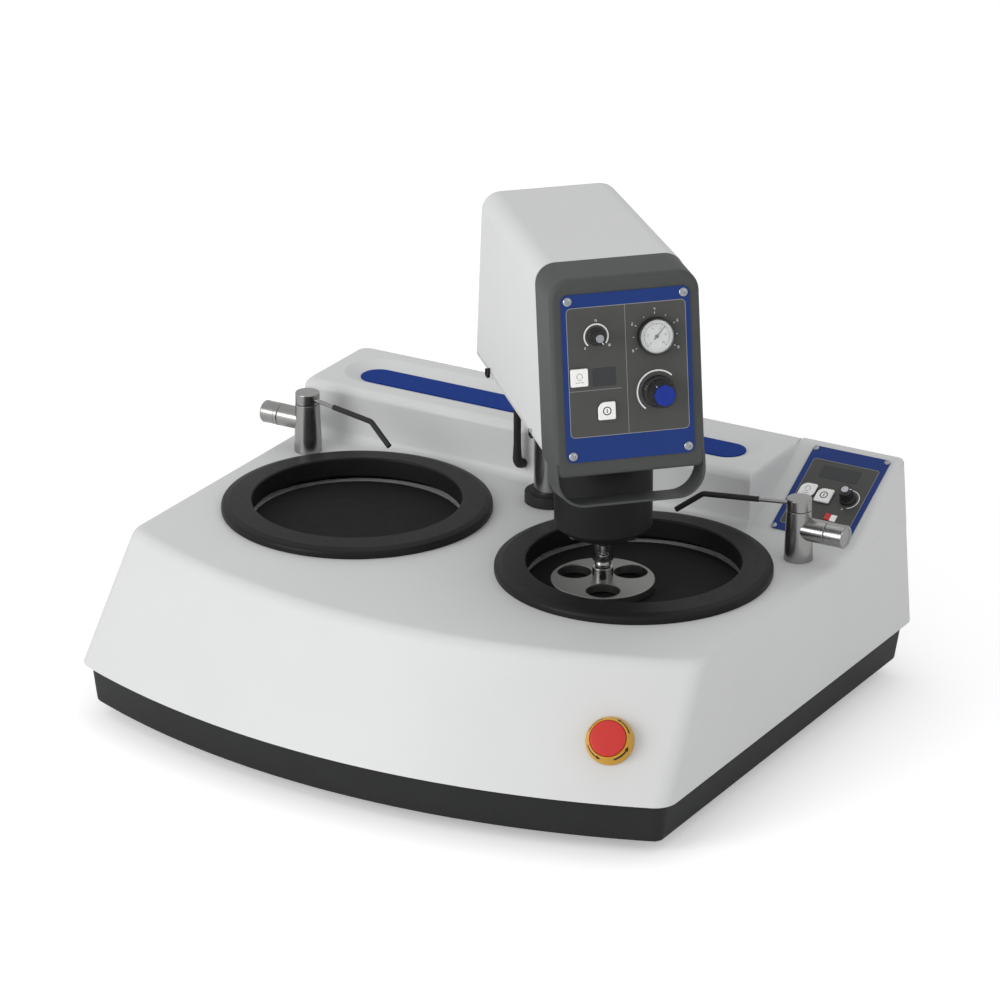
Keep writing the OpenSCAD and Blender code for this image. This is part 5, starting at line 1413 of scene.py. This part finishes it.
def build_taps():
    """A profile of radius and height is turned about the piece's axis: x = r cos a, y = r sin a, z = h. Spouts
    carry a circle along a bent path."""
    deck = mm(settings().housing.deck)
    for side, name in ((-1, "left"), (1, "right")):
        place = tap_place(side)
        post = Form()
        post.turned(soften(
            [(8, -11), (14, -11), (14, -4.2), (8, -4.2), (8, 0), (17, 0), (16.9, 1.4), (14.75, 61.2), (6, 61.2),
             (6, 71.4), (0.3, 71.4)], (0, 1, 1, 0, 0, 0.6, 1.2, 0.5, 0, 0.6, 0), 4), place, sides=96,
                 ends=(True, True))
        arm = place.on((0, 0, 39), (0, 1, 0), (0, 0, 1))
        post.turned(soften([(13.4, 6), (13.6, 22), (13.7, 36.4), (12.8, 37), (4.1, 37)],
                           (0, 0, 0.5, 0.3, 0), 3), arm, sides=96, ends=(True, True))
        post.build(name + "_tap_post", "base", finish("polished"), "polished_steel", [name + "_tap_pillar"])
        turn = Form()
        turn.turned(soften(
            [(4, 25.4), (4, 37.3), (13.0, 37.3), (13.7, 38), (13.7, 42), (13.5, 42.6), (13.5, 56), (13.7, 56.6),
             (13.7, 59.6), (12.4, 61.3), (9.6, 61.3), (9.2, 60.4), (0.3, 60.4)],
            (0, 0, 0.2, 0.3, 0.2, 0.2, 0.2, 0.2, 0.8, 0.5, 0.3, 0.2, 0), 3), arm,
            wave=lambda row, a: 1 - 0.02 * np.isin(row, range(11, 17)) * (0.5 + 0.5 * np.cos(40 * a)),
            sides=240, ends=(True, True))
        turn.build(name + "_tap_grip", name + "_tap", finish("polished"), "polished_steel",
            [name + "_tap_knob"])
        lean = math.radians(15.5)
        way = Place((side * 333, 138, 0), (-side * math.cos(lean), -math.sin(lean), 0),
                    (math.sin(lean), -side * math.cos(lean), 0))
        cap = Form()
        cap.turned(soften([(6.1, 261.8), (14.7, 261.8), (14.7, 275.5), (0.3, 275.5)], (0, 0.5, 1.4, 0), 4), way,
                   sides=96, ends=(False, True))
        z = 268.5
        cap.tube(np.column_stack([np.linspace(8, 61, 9), np.zeros(9), np.full(9, z)]), 2.6, way, sides=32)
        cap.build(name + "_tap_cap", name + "_spout_arm", finish("polished"), "polished_steel",
            [name + "_spout"])
        hose = Form()
        drop = math.radians(36)
        bend = np.array([113.0, 0, z])
        tip = bend + 39.0 * np.array([math.cos(drop), 0, -math.sin(drop)])
        path = soften([(47, 0, z), tuple(bend), tuple(tip)], (0, 10, 0), 10)
        path = np.concatenate([path[:1], path[:1] + [(0.5, 0, 0)], path[1:-1], path[-1:]])
        radii = np.full(len(path), 3.3)
        radii[0] = 2.9
        hose.tube(path, radii, way, about=(0, 1, 0))
        hose.build(name + "_hose", name + "_spout_arm", finish("rubber"), "belt_rubber",
            [name + "_spout_sleeve"])


def build_stop():
    """A profile of radius and height is turned about the piece's axis: x = r cos a, y = r sin a, z = h. The
    arrows are strips on the collar's cone."""
    place = stop_place()
    collar = Form()
    collar.turned(soften(
        [(11, -2), (11, 0.3), (26.9, 0.3), (26.9, 3), (21.9, 16.8), (20.6, 16.8), (20.5, 6), (8.1, 6)],
        (0, 0, 0.3, 1.2, 0.7, 0.3, 0, 0), 4), place, ends=(False, False))
    collar.build("stop_collar", "base", finish("yellow_plastic"), "yellow_plastic", ["estop_collar"])
    arrows = Form()
    slope = math.atan2(5.0, 13.8)
    for k in range(4):
        for i in range(2):
            a = np.radians(np.linspace(20, 62, 9) + 90 * k)
            if i:
                rows = np.array([[23.0 * np.ones(9), 13.9 * np.ones(9)], [24.1 * np.ones(9),
                    10.9 * np.ones(9)]])
            else:
                a = np.radians(np.linspace(62, 74, 9) + 90 * k)
                spread = np.linspace(1, 0.02, 9)
                middle, half = 23.55, 1.35 * spread
                rows = np.array([[middle - half, 12.4 + half * 2.76], [middle + half, 12.4 - half * 2.76]])
            lift = np.array([math.cos(slope), math.sin(slope)]) * 0.12
            grid = np.stack([(rows[:, 0] + lift[0]) * np.cos(a), (rows[:, 0] + lift[0]) * np.sin(a),
                             rows[:, 1] + lift[1]], -1)
            under = np.stack([(rows[:, 0] - 0.4) * np.cos(a), (rows[:, 0] - 0.4) * np.sin(a), rows[:,
                1] - 0.2], -1)
            block = np.array([grid[1], grid[0], under[0], under[1]])
            arrows.grid(np.swapaxes(block, 0, 1)[::-1], place, False, True, (True, True))
    arrows.build("stop_arrows", "base", finish("ink"), "black_plastic")
    head = Form()
    dome = [(8.05, 11.4), (19.6, 11.4), (20.2, 12.2), (20.2, 16.6), (19.7, 18.2), (18.4, 19.1), (12, 19.45),
        (0.3, 19.5)]
    head.turned(soften(dome, (0, 0.4, 0.4, 1.0, 0.8, 1.2, 20, 0), 4), place, ends=(False, True))
    head.build("stop_button", "stop_head", finish("red_plastic"), "red_plastic", ["estop_head"])


def build_rear():
    """A profile of radius and height is turned about the piece's axis: x = r cos a, y = r sin a, z = h."""
    form = Form()
    back = mm(settings().housing.back)
    for x in (-186, -144, -102):
        place = Place((x, back, 114), (-1, 0, 0), (0, 0, 1))
        barb = [(5, -16), (7, -16), (7, 0), (10, 0), (10, 5.5), (7, 5.5), (7, 8), (8, 8.6), (6.9, 13), (8,
            13.5),
                (6.9, 18), (8, 18.5), (6.6, 22), (5, 22)]
        form.turned(soften(barb, (0, 0, 0, 0.6, 0.8, 0.2, 0, 0.3, 0, 0.3, 0, 0.3, 0.3, 0.3), 2, closed=True),
            place,
                    sides=56, loop=True)
    form.build("hose_barbs", "base", finish("brass"), "brass", ["hose_fittings"])


PLAIN = {
    "cast": ["chassis", "head_frame", "drive_motor", "head_motor"],
    "steel": ["left_spindle", "right_spindle", "motor_pulley", "estop_stem"],
    "rubber": ["drive_belts"],
    "black_plastic": ["mains_inlet"],
}


def dress_plain():
    """Gives each CAD node that is shown as it is its finish."""
    for name, nodes in PLAIN.items():
        for node in nodes:
            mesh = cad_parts[node].data
            mesh.materials.clear()
            mesh.materials.append(finish(name))


# Where the camera stands and what it looks at, in millimetres
CAMERA_AT = (2788.6, -4708.4, 2483.0)
CAMERA_TARGET = (9.82, 12.48, 249.74)
FLOOR_GLOW = 0.32


def build_stage():
    """Adds the floor, the even light, three lamps and the camera."""
    s, scene = settings().studio, bpy.context.scene
    mesh = bpy.data.meshes.new("floor")
    mesh.from_pydata([(-30, -30, 0), (30, -30, 0), (30, 30, 0), (-30, 30, 0)], [], [(0, 1, 2, 3)])
    floor = bpy.data.objects.new("floor", mesh)
    scene.collection.objects.link(floor)
    pale = bpy.data.materials.new("floor")
    pale.use_nodes = True
    tree = pale.node_tree
    shader = tree.nodes["Principled BSDF"]
    shader.inputs["Base Color"].default_value = (0.93, 0.93, 0.93, 1)
    shader.inputs["Roughness"].default_value = 0.9
    shader.inputs["Specular IOR Level"].default_value = 0.1
    shader.inputs["Emission Strength"].default_value = 1.0
    path = tree.nodes.new("ShaderNodeLightPath")
    glow = tree.nodes.new("ShaderNodeMix")
    glow.data_type = "RGBA"
    tree.links.new(path.outputs["Is Camera Ray"], glow.inputs[0])
    glow.inputs[6].default_value = (0, 0, 0, 1)
    glow.inputs[7].default_value = (FLOOR_GLOW, FLOOR_GLOW, FLOOR_GLOW, 1)
    tree.links.new(glow.outputs[2], shader.inputs["Emission Color"])
    mesh.materials.append(pale)
    world = bpy.data.worlds.new("studio")
    world.use_nodes = True
    scene.world = world
    tree = world.node_tree
    tree.nodes.clear()
    path = tree.nodes.new("ShaderNodeLightPath")
    seen = Socket(tree, path.outputs["Is Camera Ray"])
    mixer = tree.nodes.new("ShaderNodeMixShader")
    even, white = tree.nodes.new("ShaderNodeBackground"), tree.nodes.new("ShaderNodeBackground")
    even.inputs["Color"].default_value = (1, 1, 1, 1)
    even.inputs["Strength"].default_value = s.sky
    white.inputs["Color"].default_value = (1, 1, 1, 1)
    plug(tree, mixer.inputs[0], seen)
    tree.links.new(even.outputs[0], mixer.inputs[1])
    tree.links.new(white.outputs[0], mixer.inputs[2])
    tree.links.new(mixer.outputs[0], tree.nodes.new("ShaderNodeOutputWorld").inputs[0])
    for name, at, size, power in (
        ("front_light", (-1.6, -3.6, 1.5), 2.4, s.key),
        ("side_light", (3.6, -0.8, 1.9), 2.0, s.fill),
        ("top_light", (-0.4, 0.8, 3.6), 2.6, s.fill * 0.8),
    ):
        lamp = bpy.data.lights.new(name, "AREA")
        lamp.shape, lamp.size, lamp.energy = "DISK", size, power
        box = bpy.data.objects.new(name, lamp)
        box.location = at
        box.rotation_euler = (Vector((0, 0, 0.25)) - Vector(at)).to_track_quat("-Z", "Y").to_euler()
        scene.collection.objects.link(box)
    lens = bpy.data.cameras.new("camera")
    lens.lens, lens.sensor_width, lens.clip_end = s.lens, 36, 100
    camera = bpy.data.objects.new("camera", lens)
    camera.location = Vector(CAMERA_AT) * MM
    target = Vector(CAMERA_TARGET) * MM
    camera.rotation_euler = (target - camera.location).to_track_quat("-Z", "Y").to_euler()
    scene.collection.objects.link(camera)
    scene.camera = camera
    scene.view_settings.view_transform = "Standard"


# Operators and panel


class POLISHER_OT_stage(bpy.types.Operator):
    """Adds the floor, the light and the camera."""

    bl_idname = "polisher.stage"
    bl_label = "Stage"
    bl_options = {"REGISTER", "UNDO"}

    def execute(self, context):
        build_stage()
        return {"FINISHED"}


class POLISHER_OT_housing(bpy.types.Operator):
    """Builds the painted housing with its upstand and console."""

    bl_idname = "polisher.housing"
    bl_label = "Housing"
    bl_options = {"REGISTER", "UNDO"}

    def execute(self, context):
        build_housing()
        return {"FINISHED"}


class POLISHER_OT_tray(bpy.types.Operator):
    """Builds the dark tray and its four feet."""

    bl_idname = "polisher.tray"
    bl_label = "Tray and feet"
    bl_options = {"REGISTER", "UNDO"}

    def execute(self, context):
        build_tray()
        return {"FINISHED"}


class POLISHER_OT_liner(bpy.types.Operator):
    """Builds the blue liner of the dish."""

    bl_idname = "polisher.liner"
    bl_label = "Liner"
    bl_options = {"REGISTER", "UNDO"}

    def execute(self, context):
        build_liner()
        return {"FINISHED"}


class POLISHER_OT_stations(bpy.types.Operator):
    """Builds splash rings, bowls, platens and discs."""

    bl_idname = "polisher.stations"
    bl_label = "Disc stations"
    bl_options = {"REGISTER", "UNDO"}

    def execute(self, context):
        build_stations()
        return {"FINISHED"}


class POLISHER_OT_column(bpy.types.Operator):
    """Builds the column, its foot and the conduit."""

    bl_idname = "polisher.column"
    bl_label = "Column"
    bl_options = {"REGISTER", "UNDO"}

    def execute(self, context):
        build_column()
        return {"FINISHED"}


class POLISHER_OT_casing(bpy.types.Operator):
    """Builds the light casing of the head."""

    bl_idname = "polisher.casing"
    bl_label = "Head casing"
    bl_options = {"REGISTER", "UNDO"}

    def execute(self, context):
        build_casing()
        return {"FINISHED"}


class POLISHER_OT_fascia(bpy.types.Operator):
    """Builds the dark front with its grip loop."""

    bl_idname = "polisher.fascia"
    bl_label = "Head front"
    bl_options = {"REGISTER", "UNDO"}

    def execute(self, context):
        build_fascia()
        return {"FINISHED"}


class POLISHER_OT_head_panel(bpy.types.Operator):
    """Builds the printed panel and its screws."""

    bl_idname = "polisher.head_panel"
    bl_label = "Head panel"
    bl_options = {"REGISTER", "UNDO"}

    def execute(self, context):
        build_head_panel()
        return {"FINISHED"}


class POLISHER_OT_gauge(bpy.types.Operator):
    """Builds the pressure gauge."""

    bl_idname = "polisher.gauge"
    bl_label = "Gauge"
    bl_options = {"REGISTER", "UNDO"}

    def execute(self, context):
        build_gauge()
        return {"FINISHED"}


class POLISHER_OT_head_controls(bpy.types.Operator):
    """Builds the knobs and keys of the head."""

    bl_idname = "polisher.head_controls"
    bl_label = "Head controls"
    bl_options = {"REGISTER", "UNDO"}

    def execute(self, context):
        build_head_controls()
        return {"FINISHED"}


class POLISHER_OT_console(bpy.types.Operator):
    """Builds the console's panel, keys, knob and rocker."""

    bl_idname = "polisher.console"
    bl_label = "Console controls"
    bl_options = {"REGISTER", "UNDO"}

    def execute(self, context):
        build_console_controls()
        return {"FINISHED"}


class POLISHER_OT_mover(bpy.types.Operator):
    """Builds the spindle, the holder and the fingers."""

    bl_idname = "polisher.mover"
    bl_label = "Specimen mover"
    bl_options = {"REGISTER", "UNDO"}

    def execute(self, context):
        build_mover()
        return {"FINISHED"}


class POLISHER_OT_taps(bpy.types.Operator):
    """Builds the water taps and their spouts."""

    bl_idname = "polisher.taps"
    bl_label = "Taps"
    bl_options = {"REGISTER", "UNDO"}

    def execute(self, context):
        build_taps()
        return {"FINISHED"}


class POLISHER_OT_stop(bpy.types.Operator):
    """Builds the emergency-stop button."""

    bl_idname = "polisher.stop"
    bl_label = "Stop button"
    bl_options = {"REGISTER", "UNDO"}

    def execute(self, context):
        build_stop()
        return {"FINISHED"}


class POLISHER_OT_rear(bpy.types.Operator):
    """Builds the hose connections."""

    bl_idname = "polisher.rear"
    bl_label = "Rear connections"
    bl_options = {"REGISTER", "UNDO"}

    def execute(self, context):
        build_rear()
        return {"FINISHED"}


class POLISHER_OT_plain(bpy.types.Operator):
    """Finishes the inner pieces that stay as CAD solids."""

    bl_idname = "polisher.plain"
    bl_label = "Inner pieces"
    bl_options = {"REGISTER", "UNDO"}

    def execute(self, context):
        dress_plain()
        return {"FINISHED"}


OPERATORS = [
    POLISHER_OT_stage,
    POLISHER_OT_housing,
    POLISHER_OT_tray,
    POLISHER_OT_liner,
    POLISHER_OT_stations,
    POLISHER_OT_column,
    POLISHER_OT_casing,
    POLISHER_OT_fascia,
    POLISHER_OT_head_panel,
    POLISHER_OT_gauge,
    POLISHER_OT_head_controls,
    POLISHER_OT_console,
    POLISHER_OT_mover,
    POLISHER_OT_taps,
    POLISHER_OT_stop,
    POLISHER_OT_rear,
    POLISHER_OT_plain,
]


class POLISHER_PT_panel(bpy.types.Panel):
    """Lists the building steps and the main settings."""

    bl_label = "Polisher"
    bl_idname = "POLISHER_PT_panel"
    bl_space_type = "VIEW_3D"
    bl_region_type = "UI"
    bl_category = "Polisher"

    def draw(self, context):
        for made in OPERATORS:
            self.layout.operator(made.bl_idname)
        for group in ("housing", "disc", "head", "finish", "studio"):
            owner = getattr(context.scene.polisher, group)
            box = self.layout.box()
            for key in owner.bl_rna.properties.keys():
                if key not in ("rna_type", "name"):
                    box.prop(owner, key)


CLASSES = [HousingSettings, DiscSettings, HeadSettings, FinishSettings, StudioSettings, PolisherSettings]


def register():
    """Registers the classes and the settings."""
    for made in CLASSES + OPERATORS + [POLISHER_PT_panel]:
        bpy.utils.register_class(made)
    bpy.types.Scene.polisher = PointerProperty(type=PolisherSettings)


def unregister():
    """Takes the classes and the settings away."""
    del bpy.types.Scene.polisher
    for made in reversed(CLASSES + OPERATORS + [POLISHER_PT_panel]):
        bpy.utils.unregister_class(made)


def main():
    """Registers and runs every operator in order."""
    register()
    for made in OPERATORS:
        group, name = made.bl_idname.split(".")
        getattr(getattr(bpy.ops, group), name)()


if __name__ == "__main__":
    main()
